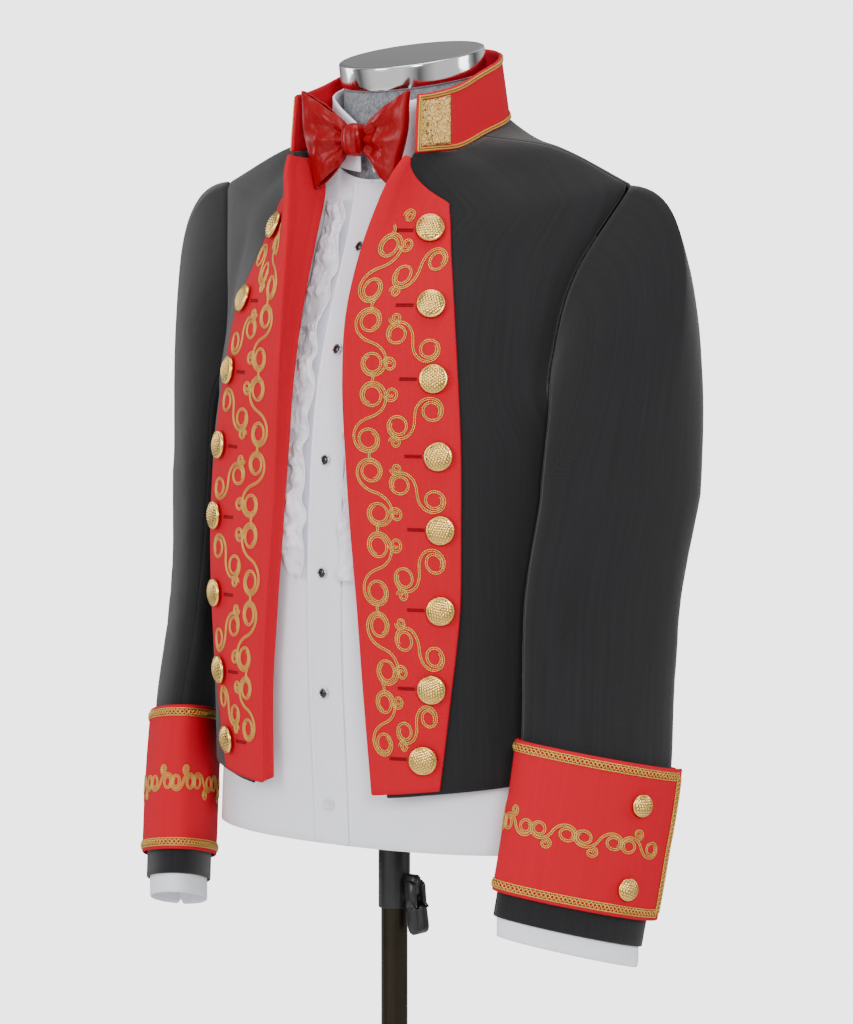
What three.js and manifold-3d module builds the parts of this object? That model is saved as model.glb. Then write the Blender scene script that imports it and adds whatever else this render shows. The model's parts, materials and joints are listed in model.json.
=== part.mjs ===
// A mess-style jacket with turned-back fronts, a bib shirt and a bow tie, on a limbless dress form
// with a round base. Millimetres; +Z is up, the front faces -Y and the wearer's left is +X.
// The origin is on the floor, under the axis of the pole.
import * as THREE from 'three';
import { mergeVertices } from 'three/addons/utils/BufferGeometryUtils.js';
import Module from 'manifold-3d';

// ---- driving sizes -------------------------------------------------------------------------
const SEAM_GAP = 0.3;            // between neighbouring pieces
const COAT_CLOTH = 2.0;          // jacket cloth with its interlining
const FACING_CLOTH = 1.8;        // red turned-back front
const SLEEVE_CLOTH = 2.0;
const SHIRT_CLOTH = 1.2;
const SHIRT_EASE = 2.3;          // air between the form and the shirt
const BUTTON_DIAMETER = 24;
const CUFF_BUTTON_DIAMETER = 19;
const STUD_DIAMETER = 9;
const POLE_RADIUS = 11.2;
const POLE_TOP = 1280;
const BORE_RADIUS = 14.2;        // hole in the form that the pole slides in
const BORE_TOP = 1284;
const TUBE = { inner: 11.7, outer: 13.4, bottom: 793, top: 856.7 };
const BASE = { radius: 195, rim: 5, dome: 11, hub: 22, hubTop: 62 };
const LEVER = { pinX: 21.5, pinZ: 812, pin: 2, cheek: 6.5, reach: 40, width: 15, lug: 8 };

// The dress form in rings from the hip to the neck. z at the front, side and back; half width;
// y of the front, widest and back points; roundness (2 is an ellipse, more is squarer); and the
// armhole of the shirt in degrees from the centre front.
const FORM_RINGS = [
  {
    zFront: 857, zSide: 857, zBack: 857, half: 180, yFront: -79, yMid: 21, yBack: 118,
    round: 2.2, armFront: 90, armBack: 90,
  },
  {
    zFront: 925, zSide: 925, zBack: 925, half: 174, yFront: -83, yMid: 21, yBack: 115,
    round: 2.2, armFront: 90, armBack: 90,
  },
  {
    zFront: 1000, zSide: 1000, zBack: 1000, half: 164, yFront: -88, yMid: 20, yBack: 110,
    round: 2.2, armFront: 90, armBack: 90,
  },
  {
    zFront: 1060, zSide: 1060, zBack: 1060, half: 160, yFront: -89, yMid: 20, yBack: 112,
    round: 2.2, armFront: 90, armBack: 90,
  },
  {
    zFront: 1120, zSide: 1120, zBack: 1120, half: 161, yFront: -88, yMid: 20, yBack: 119,
    round: 2.2, armFront: 90, armBack: 90,
  },
  {
    zFront: 1180, zSide: 1180, zBack: 1180, half: 164, yFront: -84, yMid: 21, yBack: 125,
    round: 2.2, armFront: 90, armBack: 90,
  },
  {
    zFront: 1240, zSide: 1235, zBack: 1240, half: 158, yFront: -75, yMid: 23, yBack: 127,
    round: 2.2, armFront: 80, armBack: 97,
  },
  {
    zFront: 1290, zSide: 1290, zBack: 1295, half: 157, yFront: -61, yMid: 27, yBack: 124,
    round: 2.2, armFront: 73, armBack: 106,
  },
  {
    zFront: 1330, zSide: 1345, zBack: 1345, half: 168, yFront: -46, yMid: 33, yBack: 116,
    round: 2.1, armFront: 76, armBack: 104,
  },
  {
    zFront: 1354, zSide: 1384, zBack: 1382, half: 178, yFront: -37, yMid: 39, yBack: 108,
    round: 2.0, armFront: 90, armBack: 90,
  },
  {
    zFront: 1380, zSide: 1411, zBack: 1411, half: 132, yFront: -30, yMid: 38, yBack: 101,
    round: 2.0, armFront: 90, armBack: 90,
  },
  {
    zFront: 1404, zSide: 1429, zBack: 1435, half: 70, yFront: -27, yMid: 33, yBack: 94,
    round: 2.0, armFront: 90, armBack: 90,
  },
  {
    zFront: 1434, zSide: 1447, zBack: 1458, half: 60, yFront: -31, yMid: 29, yBack: 89,
    round: 2.0, armFront: 90, armBack: 90,
  },
  {
    zFront: 1476, zSide: 1488, zBack: 1500, half: 58, yFront: -32, yMid: 28, yBack: 88,
    round: 2.0, armFront: 90, armBack: 90,
  },
];
const SHIRT_TOP = 11;            // ring where the shirt ends and its collar starts
const FORM_COLUMNS = 32;
const FORM_ROWS = [0, 1, 2, 3, 4, 5, 6, 7, 8, 8.5, 9, 9.5, 10, 10.5, 11, 12, 13];

// The jacket in levels from the hem to the neckline, wearer's left side. Each guide is a tailor's
// line: the fold of the turned-back front, the button line, the chest dart, the side seam with
// the front of the armhole and the shoulder seam, the back of the armhole, the shoulder blade,
// the centre back and the inner edge of the facing.
const COAT_LEVELS = [
  {
    fold: [60, -103, 903], button: [97, -91, 907], dart: [151, -53, 914], seam: [184, 21, 922],
    rear: [184, 21, 922], blade: [138, 97, 922], spine: [0, 124, 922], facing: [56, -92, 906],
  },
  {
    fold: [55.5, -108, 985], button: [109, -91, 988], dart: [152, -52, 990],
    seam: [175, 20, 993], rear: [175, 20, 993], blade: [131, 94, 993], spine: [0, 121, 993],
    facing: [52, -97, 986],
  },
  {
    fold: [50, -109.5, 1058], button: [117, -88, 1058], dart: [152, -53, 1058],
    seam: [171, 20, 1058], rear: [171, 20, 1058], blade: [128, 96, 1058], spine: [0, 124, 1058],
    facing: [46, -98.5, 1058],
  },
  {
    fold: [43.5, -110, 1124], button: [117, -88, 1124], dart: [153, -52, 1122],
    seam: [172, 21, 1118], rear: [172, 21, 1118], blade: [129, 101, 1120], spine: [0, 131, 1120],
    facing: [40, -98.5, 1124],
  },
  {
    fold: [39, -110.5, 1183], button: [113, -86, 1185], dart: [155, -46, 1190],
    seam: [176, 23, 1196], rear: [176, 23, 1196], blade: [132, 106, 1190], spine: [0, 137, 1190],
    facing: [35, -98, 1183],
  },
  {
    fold: [36, -110.5, 1240], button: [106, -83, 1242], dart: [152, -42, 1236],
    seam: [168, -9, 1224], rear: [171, 60, 1230], blade: [134, 107, 1240], spine: [0, 139, 1245],
    facing: [31, -95, 1240],
  },
  {
    fold: [36, -106, 1295], button: [98, -76, 1297], dart: [145, -38, 1290],
    seam: [167, -3, 1268], rear: [174, 79, 1288], blade: [134, 105, 1295], spine: [0, 137, 1300],
    facing: [31, -84, 1295],
  },
  {
    fold: [41, -94, 1345], button: [84, -60, 1345], dart: [138, -28, 1345], seam: [181, 7, 1330],
    rear: [190, 73, 1348], blade: [136, 99, 1347], spine: [0, 132, 1350],
    facing: [34, -66, 1345],
  },
  {
    fold: [50, -80, 1388], button: [76, -49, 1378], dart: [135, -18, 1380],
    seam: [211, 40, 1400], rear: [211, 40, 1400], blade: [140, 86, 1394], spine: [0, 124, 1395],
    facing: [40, -43, 1390],
  },
  {
    fold: [57, -72, 1409], button: [71, -45, 1406], dart: [110, -4, 1410], seam: [142, 36, 1430],
    rear: [142, 36, 1430], blade: [104, 81, 1426], spine: [0, 116, 1432],
    facing: [46, -38, 1409],
  },
  {
    fold: [62.6, -60, 1426], button: [68, -38, 1427], dart: [73, -8, 1429], seam: [75, 24, 1440],
    rear: [75, 24, 1440], blade: [56, 84, 1455], spine: [0, 109.5, 1462],
    facing: [53, -36, 1423],
  },
];
const UNDERARM = 4;              // level of the lowest point of the armhole
const SHOULDER = 8;              // level of the shoulder point
const NECK = 10;
const FRONT_EDGE = 0.1;          // the cloth of the front stops this far inside the fold
const FACING_FREE_EDGE = 0.425;  // across the front, just past the buttons

// The head of the sleeve leaves the armhole in these directions, round from the shoulder point
// by the front, the underarm and the back.
const SLEEVE_HEAD = [
  { side: 'shoulder', dx: 262, dy: 12, dz: -12 },
  { side: 'front', dx: 74, dy: -62, dz: -30 },
  { side: 'underarm', dx: 25, dy: -4, dz: -40 },
  { side: 'back', dx: 140, dy: 72, dz: -5 },
];
// The sleeve below the armhole: centre, half sizes along the flat oval and across it outwards
// and inwards, and how far the ring dips to the back.
const SLEEVE_RINGS = [
  { z: 1150, x: 214, y: 23, along: 67, outward: 37, inward: 16, dip: 0 },
  { z: 1076, x: 209, y: 9, along: 65, outward: 32, inward: 20, dip: 3 },
  { z: 1010, x: 211, y: 0, along: 64, outward: 30, inward: 21, dip: 7 },
  { z: 942, x: 216, y: -11, along: 63, outward: 28, inward: 23, dip: 13 },
  { z: 880, x: 213, y: -23, along: 62.5, outward: 28, inward: 24, dip: 13.5 },
  { z: 801, x: 206, y: -36, along: 62, outward: 28, inward: 24, dip: 14 },
];
const SLEEVE_FLAT = new THREE.Vector3(0.574, 0.819, 0);    // long way of the oval, to the back
const SLEEVE_ACROSS = new THREE.Vector3(0.819, -0.574, 0); // short way, outwards
const SLEEVE_TWIST = 70;         // degrees from the oval's back end to its shoulder line
const SLEEVE_COLUMNS = 20;
const SLEEVE_SEAMS = { front: 6, back: 15 };               // columns of the two sleeve seams
const CUFF = { top: 942, bottom: 822, cloth: 2.2, standOff: 2.4, ventOff: 3.5 };
const SHIRT_CUFF = { top: 836, bottom: 784, cloth: 1.6 };
const SHIRT_SLEEVE_EASE = 3.2;   // air between the two sleeves

// The stand collar from its front end to the centre back: the seam and the top edge.
const COLLAR_STATIONS = [
  { seam: [64.5, -54, 1427.1], top: [63.5, -50, 1473] },
  { seam: [69, -36, 1428.2], top: [67, -33, 1475] },
  { seam: [73.2, -8, 1430.5], top: [71, -6, 1481] },
  { seam: [75, 24, 1441.1], top: [69.5, 26, 1492] },
  { seam: [71, 58, 1450], top: [64.5, 56, 1501] },
  { seam: [55, 85, 1456.6], top: [50, 80, 1508] },
  { seam: [29, 103.5, 1462], top: [27, 97.5, 1511.5] },
  { seam: [0, 109.5, 1463.6], top: [0, 104, 1513] },
];
const COLLAR_CLOTH = 2.6;
const COLLAR_PATCH = { length: 33, cloth: 0.8 };
const SHIRT_COLLAR_STATIONS = [
  { seam: [7, -36, 1411], top: [5, -39.6, 1448] },
  { seam: [36, -26.5, 1415.5], top: [34, -32, 1466] },
  { seam: [61, -2, 1426], top: [58.5, -4, 1475] },
  { seam: [71, 32, 1433], top: [62.5, 32, 1483] },
  { seam: [61, 72, 1441], top: [52.5, 68, 1491] },
  { seam: [34, 94, 1447], top: [31, 90.5, 1496] },
  { seam: [0, 101.5, 1449.5], top: [0, 96.5, 1498] },
];

const LAPEL_BUTTON_HEIGHTS = [937, 995, 1059, 1124, 1183, 1245, 1304, 1364];
const STUD_HEIGHTS = [1347, 1264, 1175, 1083, 984];
const SHIRT_BUTTON_HEIGHT = 891;
const PLACKET = { halfWidth: 17, top: 1392, bottom: 858, cloth: 1.6 };
const RUFFLE = { inner: 19.5, outer: 46, bottom: 1078, top: 1386, cloth: 1.0, depth: 7, waves: 9 };
const BOW = {
  y: -51.2, z: 1437, knotHalf: [12, 12, 14], start: 10.9, end: 49, slant: 8,
  innerHeight: 24, outerHeight: 78, puff: 6.5, layerGap: 2.2, cloth: 1.6, pleats: 3, pleatDepth: 2.2,
};

const FINISH = {
  wool: { color: 0x17171a, roughness: 0.85, metalness: 0 },
  redCloth: { color: 0xc4101d, roughness: 0.75, metalness: 0 },
  satin: { color: 0xd0101c, roughness: 0.35, metalness: 0 },
  cotton: { color: 0xf2f3f6, roughness: 0.8, metalness: 0 },
  gold: { color: 0xd9a441, roughness: 0.3, metalness: 1 },
  goldCloth: { color: 0xc79a45, roughness: 0.5, metalness: 0.6 },
  onyx: { color: 0x0b0b0d, roughness: 0.2, metalness: 0 },
  pearl: { color: 0xeeeeea, roughness: 0.35, metalness: 0 },
  heather: { color: 0x6d7077, roughness: 0.95, metalness: 0 },
  chrome: { color: 0xc9ccd0, roughness: 0.12, metalness: 1 },
  blackMetal: { color: 0x1a1a1c, roughness: 0.4, metalness: 0.6 },
  bronze: { color: 0x3a3128, roughness: 0.35, metalness: 0.9 },
};

// ---- points and surfaces -------------------------------------------------------------------
const group = new THREE.Group();
const vec = (p) => new THREE.Vector3(p[0], p[1], p[2]);
const mirrored = (p) => new THREE.Vector3(-p.x, p.y, p.z);
const mix = THREE.MathUtils.lerp;
const spread = (count, from, to) => Array.from({ length: count + 1 }, (_, i) => mix(from, to, i / count));

// A smooth value through a row of numbers, with a corner allowed at the listed places.
function smooth(values, at, corners = []) {
  const last = values.length - 1;
  const i = Math.min(Math.max(Math.floor(at), 0), last - 1);
  const s = at - i;
  const step = values[i + 1] - values[i];
  const startFree = i === 0 || corners.includes(i);
  const endFree = i + 1 === last || corners.includes(i + 1);
  const before = startFree ? step : (values[i + 1] - values[i - 1]) / 2;
  const after = endFree ? step : (values[i + 2] - values[i]) / 2;
  const s2 = s * s;
  const s3 = s2 * s;
  return values[i] * (2 * s3 - 3 * s2 + 1) + before * (s3 - 2 * s2 + s)
    + values[i + 1] * (3 * s2 - 2 * s3) + after * (s3 - s2);
}
const smoothPoint = (points, at, corners = []) => new THREE.Vector3(
  ...['x', 'y', 'z'].map((axis) => smooth(points.map((p) => p[axis]), at, corners)));

// The form's surface: ring t (0 at the hip), angle from the centre front over the wearer's left.
function formPoint(angle, t) {
  const ring = {};
  for (const key of Object.keys(FORM_RINGS[0])) ring[key] = smooth(FORM_RINGS.map((r) => r[key]), t);
  const sin = Math.sin(angle);
  const cos = Math.cos(angle);
  const power = 2 / ring.round;
  const depth = cos > 0 ? ring.yFront - ring.yMid : ring.yBack - ring.yMid;
  const zEnd = cos > 0 ? ring.zFront : ring.zBack;
  return new THREE.Vector3(
    ring.half * Math.sign(sin) * Math.abs(sin) ** power,
    ring.yMid + depth * Math.abs(cos) ** power,
    mix(zEnd, ring.zSide, sin * sin));
}

// The jacket's surface. Front: across 0 at the fold to 1 at the side seam and armhole. Back:
// across -1 to 1 between the side seams.
const level = (name, t, corners = []) => smoothPoint(COAT_LEVELS.map((row) => vec(row[name])), t, corners);
const ARM_CORNERS = [UNDERARM, SHOULDER];
function coatFront(across, t) {
  const guides = [level('fold', t), level('button', t), level('dart', t),
    level('seam', t, ARM_CORNERS), level('blade', t)];
  return smoothPoint(guides, across * 3);
}
function coatBack(across, t) {
  const blade = level('blade', t);
  const guides = [mirrored(blade), level('spine', t), blade, level('rear', t, ARM_CORNERS), level('dart', t)];
  const point = smoothPoint(guides, 1 + 2 * Math.abs(across));
  return across < 0 ? mirrored(point) : point;
}

function normalOf(surface, a, b, towards) {
  const step = 0.002;
  const alongA = surface(a + step, b).sub(surface(a - step, b));
  const alongB = surface(a, b + step).sub(surface(a, b - step));
  const normal = alongA.cross(alongB).normalize();
  return normal.dot(towards) < 0 ? normal.negate() : normal;
}
const fromAxis = (p) => new THREE.Vector3(p.x, p.y - 20, Math.max(0, p.z - 1330) * 0.8);
function lifted(surface, a, b, height) {
  const point = surface(a, b);
  return point.clone().addScaledVector(normalOf(surface, a, b, fromAxis(point)), height);
}

// ---- solids --------------------------------------------------------------------------------
function addMesh(name, geometry, finish) {
  const mesh = new THREE.Mesh(geometry, new THREE.MeshStandardMaterial(FINISH[finish]));
  mesh.name = name;
  group.add(mesh);
  return mesh;
}

function closedGeometry(points, faces) {
  let volume = 0;
  for (const [a, b, c] of faces) volume += points[a].dot(points[b].clone().cross(points[c]));
  const outward = volume > 0 ? faces : faces.map(([a, b, c]) => [a, c, b]);
  const geometry = new THREE.BufferGeometry();
  geometry.setAttribute('position',
    new THREE.Float32BufferAttribute(points.flatMap((p) => [p.x, p.y, p.z]), 3));
  geometry.setIndex(outward.flat());
  geometry.computeVertexNormals();
  return geometry;
}

// A wall of cloth: rows of points on its middle surface and their normals, given thickness.
function wallGeometry(rows, normals, thickness, closed = false) {
  const count = rows.length;
  const width = rows[0].length;
  const points = [];
  for (const side of [0.5, -0.5]) {
    rows.forEach((row, i) => row.forEach((p, j) => {
      points.push(p.clone().addScaledVector(normals[i][j], side * thickness));
    }));
  }
  const outer = (i, j) => i * width + (j % width);
  const inner = (i, j) => count * width + i * width + (j % width);
  const faces = [];
  const quad = (a, b, c, d) => faces.push([a, b, c], [a, c, d]);
  const spans = closed ? width : width - 1;
  for (let j = 0; j < spans; j++) {
    for (let i = 0; i < count - 1; i++) {
      quad(outer(i, j), outer(i, j + 1), outer(i + 1, j + 1), outer(i + 1, j));
      quad(inner(i, j), inner(i + 1, j), inner(i + 1, j + 1), inner(i, j + 1));
    }
    quad(outer(0, j + 1), outer(0, j), inner(0, j), inner(0, j + 1));
    quad(outer(count - 1, j), outer(count - 1, j + 1), inner(count - 1, j + 1), inner(count - 1, j));
  }
  if (!closed) {
    for (let i = 0; i < count - 1; i++) {
      quad(outer(i, 0), outer(i + 1, 0), inner(i + 1, 0), inner(i, 0));
      quad(outer(i + 1, width - 1), outer(i, width - 1), inner(i, width - 1), inner(i + 1, width - 1));
    }
  }
  return closedGeometry(points, faces);
}

// Normals of a grid of points, all on the side that towards(point) gives on the whole.
function gridNormals(rows, towards, closed = false) {
  const width = rows[0].length;
  let agreement = 0;
  const normals = rows.map((row, i) => row.map((p, j) => {
    const up = rows[Math.min(i + 1, rows.length - 1)][j].clone().sub(rows[Math.max(i - 1, 0)][j]);
    const right = closed ? row[(j + 1) % width] : row[Math.min(j + 1, width - 1)];
    const left = closed ? row[(j + width - 1) % width] : row[Math.max(j - 1, 0)];
    const normal = up.cross(right.clone().sub(left)).normalize();
    agreement += normal.dot(towards(p, i, j));
    return normal;
  }));
  if (agreement < 0) normals.flat().forEach((normal) => normal.negate());
  return normals;
}

// A closed body through rings of equal length, with its two ends closed by a fan.
function ringBody(rings) {
  const width = rings[0].length;
  const points = rings.flat();
  const faces = [];
  for (let i = 0; i < rings.length - 1; i++) {
    for (let j = 0; j < width; j++) {
      const next = (j + 1) % width;
      const [a, b, c, d] = [i * width + j, i * width + next, (i + 1) * width + next, (i + 1) * width + j];
      faces.push([a, b, c], [a, c, d]);
    }
  }
  for (const [start, flip] of [[0, true], [(rings.length - 1) * width, false]]) {
    const centre = new THREE.Vector3();
    for (let j = 0; j < width; j++) centre.addScaledVector(points[start + j], 1 / width);
    points.push(centre);
    for (let j = 0; j < width; j++) {
      const next = start + (j + 1) % width;
      faces.push(flip ? [points.length - 1, next, start + j] : [points.length - 1, start + j, next]);
    }
  }
  return closedGeometry(points, faces);
}

const SIDES = [{ side: 'left', flip: (p) => p }, { side: 'right', flip: mirrored }];

// ---- jacket --------------------------------------------------------------------------------
const COAT_ROWS = [0, 1, 2, 3, 4, 4.67, 5.33, 6, 6.5, 7, 7.5, 8, 8.67, 9.33, NECK];
const FRONT_COLUMNS = [FRONT_EDGE, 0.21, 0.32, 0.43, 0.55, 0.67, 0.78, 0.89, 1];
const coatDrop = -COAT_CLOTH / 2;

// Where the side seam, armhole and shoulder seam end the front and the back, less the seam gap.
const seamInset = (t) => (SEAM_GAP + (t > UNDERARM && t < SHOULDER ? 0.2 : 0)) / 190;

function panel(name, finish, surface, acrossList, rowList, middle, thickness, flip) {
  const rows = rowList.map((t) => acrossList(t).map((a) => surface(a, t)));
  const normals = rowList.map((t, i) => acrossList(t)
    .map((a, j) => normalOf(surface, a, t, fromAxis(rows[i][j]))));
  const lift = rows.map((row, i) =>
    row.map((p, j) => flip(p.clone().addScaledVector(normals[i][j], middle))));
  const turned = normals.map((row) => row.map((n) => flip(n)));
  return addMesh(name, wallGeometry(lift, turned, thickness), finish);
}

function jacketBody() {
  for (const { side, flip } of SIDES) {
    const across = (t) => FRONT_COLUMNS.map((a) => Math.min(a, 1 - 3 * seamInset(t)));
    panel(`jacket_front_${side}`, 'wool', coatFront, across, COAT_ROWS, coatDrop, COAT_CLOTH, flip);
  }
  const across = (t) => spread(12, -1 + 3 * seamInset(t), 1 - 3 * seamInset(t));
  panel('jacket_back', 'wool', coatBack, across, COAT_ROWS, coatDrop, COAT_CLOTH, (p) => p);
}

// The turned-back front: one red sheet from its free edge over the chest, round the soft fold
// and back to the shirt, where it turns under the jacket.
const FACING_LIFT = 2 * SEAM_GAP + 0.2 + FACING_CLOTH / 2;
const facingTop = (across) => mix(NECK - 0.2, SHOULDER + 0.25, across / FACING_FREE_EDGE);
const FACING_SLANT = 6;          // level above which the rows rise to the slanted top edge
function facingSection(row) {
  const rise = (across) => (facingTop(across) - FACING_SLANT) / (NECK - FACING_SLANT);
  const at = (across) => (row < FACING_SLANT ? Math.max(row, 0.04)
    : FACING_SLANT + (row - FACING_SLANT) * rise(across));
  const over = [FACING_FREE_EDGE, 0.32, 0.21, 0.11].map((a) => lifted(coatFront, a, at(a), FACING_LIFT));
  const t = at(0);
  const fold = level('fold', t);
  const edge = level('facing', t);
  const out = over[3].clone().sub(over[1]).normalize();
  const crest = fold.clone().addScaledVector(out, 1.6);
  const shoulder = lifted(coatFront, 0.03, t, FACING_LIFT);
  const back = fold.clone().lerp(edge, 0.3).addScaledVector(out, 0.6);
  const turn = edge.clone().add(new THREE.Vector3(7, 1, 0));
  return [...over, shoulder, crest, back, edge.clone().lerp(fold, 0.25), edge, turn];
}
function facings() {
  for (const { side, flip } of SIDES) {
    const rows = COAT_ROWS.map((row) => {
      const curve = new THREE.CatmullRomCurve3(facingSection(row), false, 'centripetal');
      return spread(12, 0, 1).map((s) => curve.getPoint(s ** 0.92));
    });
    const outward = (p, i, j) => (j < 7 ? fromAxis(p) : new THREE.Vector3(-1, -0.2, 0));
    const normals = gridNormals(rows, outward);
    const turned = normals.map((row) => row.map((n) => flip(n)));
    const geometry = wallGeometry(rows.map((row) => row.map((p) => flip(p))), turned, FACING_CLOTH);
    addMesh(`lapel_${side}`, geometry, 'redCloth');
  }
}

// ---- sleeves and cuffs ---------------------------------------------------------------------
// The armhole, from the shoulder point round by the front, turn 0 to 1.
function armhole(turn) {
  const front = turn <= 0.5;
  const t = front ? mix(SHOULDER, UNDERARM, turn * 2) : mix(UNDERARM, SHOULDER, turn * 2 - 1);
  const point = level(front ? 'seam' : 'rear', t, ARM_CORNERS);
  const frontNormal = normalOf(coatFront, 1, t, fromAxis(point));
  const backNormal = normalOf(coatBack, 1, t, fromAxis(point));
  const even = Math.sin(Math.PI * 2 * Math.abs(turn - 0.5));
  const own = front ? frontNormal : backNormal;
  const normal = own.clone().multiplyScalar(Math.abs(even))
    .addScaledVector(frontNormal.add(backNormal), 0.5 * (1 - Math.abs(even))).normalize();
  return { point, normal };
}

function sleeveOval(ring, angle, grow = 0) {
  const cos = Math.cos(angle);
  const sin = Math.sin(angle);
  const across = (sin > 0 ? ring.outward : ring.inward) + grow;
  return new THREE.Vector3(ring.x, ring.y, ring.z - Math.tan(ring.dip * Math.PI / 180) * ring.along * cos)
    .addScaledVector(SLEEVE_FLAT, (ring.along + grow) * cos)
    .addScaledVector(SLEEVE_ACROSS, across * sin);
}
function sleeveRing(z) {
  const zs = SLEEVE_RINGS.map((r) => r.z);
  let i = zs.findIndex((value) => value <= z);
  i = i < 0 ? zs.length - 1 : Math.max(i, 1);
  const at = i - 1 + (zs[i - 1] - z) / (zs[i - 1] - zs[i]);
  const ring = {};
  for (const key of Object.keys(SLEEVE_RINGS[0])) ring[key] = smooth(SLEEVE_RINGS.map((r) => r[key]), at);
  ring.z = z;
  return ring;
}
const ovalAngle = (turn) => turn * Math.PI * 2 + SLEEVE_TWIST * Math.PI / 180;

// The sleeve's head: a cubic from the armhole, drop 0, to the first ring, drop 1. It leaves along
// the table's directions and arrives pointing down.
function sleeveHead(turn, drop) {
  const { point, normal } = armhole(turn);
  const start = point.addScaledVector(normal, SEAM_GAP + 0.3 + SLEEVE_CLOTH / 2);
  const end = sleeveOval(SLEEVE_RINGS[0], ovalAngle(turn));
  const quarter = turn * 4;
  const leave = ['dx', 'dy', 'dz'].map((key) => {
    const values = SLEEVE_HEAD.map((row) => row[key]);
    const looped = [values[3], ...values, values[0], values[1]];
    return smooth(looped, 1 + quarter);
  });
  const fall = Math.max(start.z - end.z, 20);
  const arrive = new THREE.Vector3(0, -0.12, -1).multiplyScalar(fall * 1.1);
  const d2 = drop * drop;
  const d3 = d2 * drop;
  return start.multiplyScalar(2 * d3 - 3 * d2 + 1).addScaledVector(vec(leave), d3 - 2 * d2 + drop)
    .addScaledVector(end, 3 * d2 - 2 * d3).addScaledVector(arrive, d3 - d2);
}
const HEAD_ROWS = spread(5, 0, 1);
const ARM_ROWS = [1098, 1045, 985, 925, 862, 801];    // heights below the head
function sleevePoint(turn, row) {
  if (row < HEAD_ROWS.length) return sleeveHead(turn, HEAD_ROWS[row]);
  return sleeveOval(sleeveRing(ARM_ROWS[row - HEAD_ROWS.length]), ovalAngle(turn));
}
const SLEEVE_ROW_COUNT = HEAD_ROWS.length + ARM_ROWS.length;
const awayFromArm = (p) => {
  const z = Math.min(p.z, 1300);
  const ring = sleeveRing(Math.min(z, SLEEVE_RINGS[0].z));
  return new THREE.Vector3(p.x - (p.z > 1150 ? 195 : ring.x), p.y - (p.z > 1150 ? 35 : ring.y),
    Math.max(0, p.z - 1290));
};
function sleeveStrip(columns, rowList) {
  const turns = columns.map((column) => column / SLEEVE_COLUMNS);
  const wrap = (turn) => turn - Math.floor(turn);
  const rows = rowList.map((i) => turns.map((turn) => sleevePoint(wrap(turn), i)));
  const step = 0.01;
  let agreement = 0;
  const normals = rows.map((row, k) => row.map((p, j) => {
    const i = rowList[k];
    const turn = turns[j];
    const around = sleevePoint(wrap(turn + step), i).sub(sleevePoint(wrap(turn - step), i));
    const low = Math.min(i + 1, SLEEVE_ROW_COUNT - 1);
    const high = Math.max(i - 1, 0);
    const down = sleevePoint(wrap(turn), low).sub(sleevePoint(wrap(turn), high));
    const normal = around.cross(down).normalize();
    agreement += normal.dot(awayFromArm(p));
    return normal;
  }));
  if (agreement < 0) normals.flat().forEach((normal) => normal.negate());
  return { rows, normals };
}
function addStrip(name, finish, strip, lift, cloth, flip, closed = false) {
  const rows = strip.rows.map((row, i) =>
    row.map((p, j) => flip(p.clone().addScaledVector(strip.normals[i][j], lift))));
  const normals = strip.normals.map((row) => row.map((n) => flip(n)));
  addMesh(name, wallGeometry(rows, normals, cloth, closed), finish);
}
const SHIRT_SLEEVE_ROWS = [4, 5, 7, 8, 9, 10];
function columnsBetween(from, to, gap) {
  const columns = spread(to - from, from, to);
  columns[0] += gap;
  columns[columns.length - 1] -= gap;
  return columns;
}
function sleeves() {
  const gap = 0.035;
  const { front, back } = SLEEVE_SEAMS;
  const allRows = spread(SLEEVE_ROW_COUNT - 1, 0, SLEEVE_ROW_COUNT - 1);
  for (const { side, flip } of SIDES) {
    const top = sleeveStrip(columnsBetween(back - SLEEVE_COLUMNS, front, gap), allRows);
    const under = sleeveStrip(columnsBetween(front, back, gap), allRows);
    addStrip(`sleeve_top_${side}`, 'wool', top, 0, SLEEVE_CLOTH, flip);
    addStrip(`sleeve_under_${side}`, 'wool', under, 0, SLEEVE_CLOTH, flip);
    const shirtSleeve = sleeveStrip(spread(SLEEVE_COLUMNS - 1, 0, SLEEVE_COLUMNS - 1), SHIRT_SLEEVE_ROWS);
    const inside = -(SLEEVE_CLOTH / 2 + SHIRT_SLEEVE_EASE + SHIRT_CLOTH / 2);
    addStrip(`shirt_sleeve_${side}`, 'cotton', shirtSleeve, inside, SHIRT_CLOTH, flip, true);
  }
}

// A ring of cloth round the sleeve between two heights, standing off it by a named amount.
function cuffRows(heights, columns, standOff) {
  return heights.map((z) => spread(columns, 0, 1).slice(0, -1).map((turn) => {
    const ring = sleeveRing(Math.max(z, SLEEVE_RINGS.at(-1).z));
    ring.z = z;
    return sleeveOval(ring, ovalAngle(turn), standOff(turn));
  }));
}
const VENT_TURN = 0.84;          // the back vent of the cuff, as a turn round the sleeve
function cuffs() {
  for (const { side, flip } of SIDES) {
    const base = SLEEVE_CLOTH / 2 + CUFF.cloth / 2 + CUFF.standOff;
    const off = (turn) => base + CUFF.ventOff * Math.max(0, 1 - Math.abs(turn - VENT_TURN) / 0.12) ** 2;
    const rows = cuffRows(spread(2, CUFF.bottom, CUFF.top), SLEEVE_COLUMNS, off);
    const normals = gridNormals(rows, awayFromArm, true);
    addStrip(`cuff_${side}`, 'redCloth', { rows, normals }, 0, CUFF.cloth, flip, true);
    const inside = () => -(SLEEVE_CLOTH / 2 + 0.9 + SHIRT_CUFF.cloth / 2);
    const white = cuffRows([SHIRT_CUFF.bottom, 801, SHIRT_CUFF.top], SLEEVE_COLUMNS, inside);
    const whiteNormals = gridNormals(white, awayFromArm, true);
    addStrip(`shirt_cuff_${side}`, 'cotton', { rows: white, normals: whiteNormals }, 0, SHIRT_CUFF.cloth,
      flip, true);
  }
}

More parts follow.
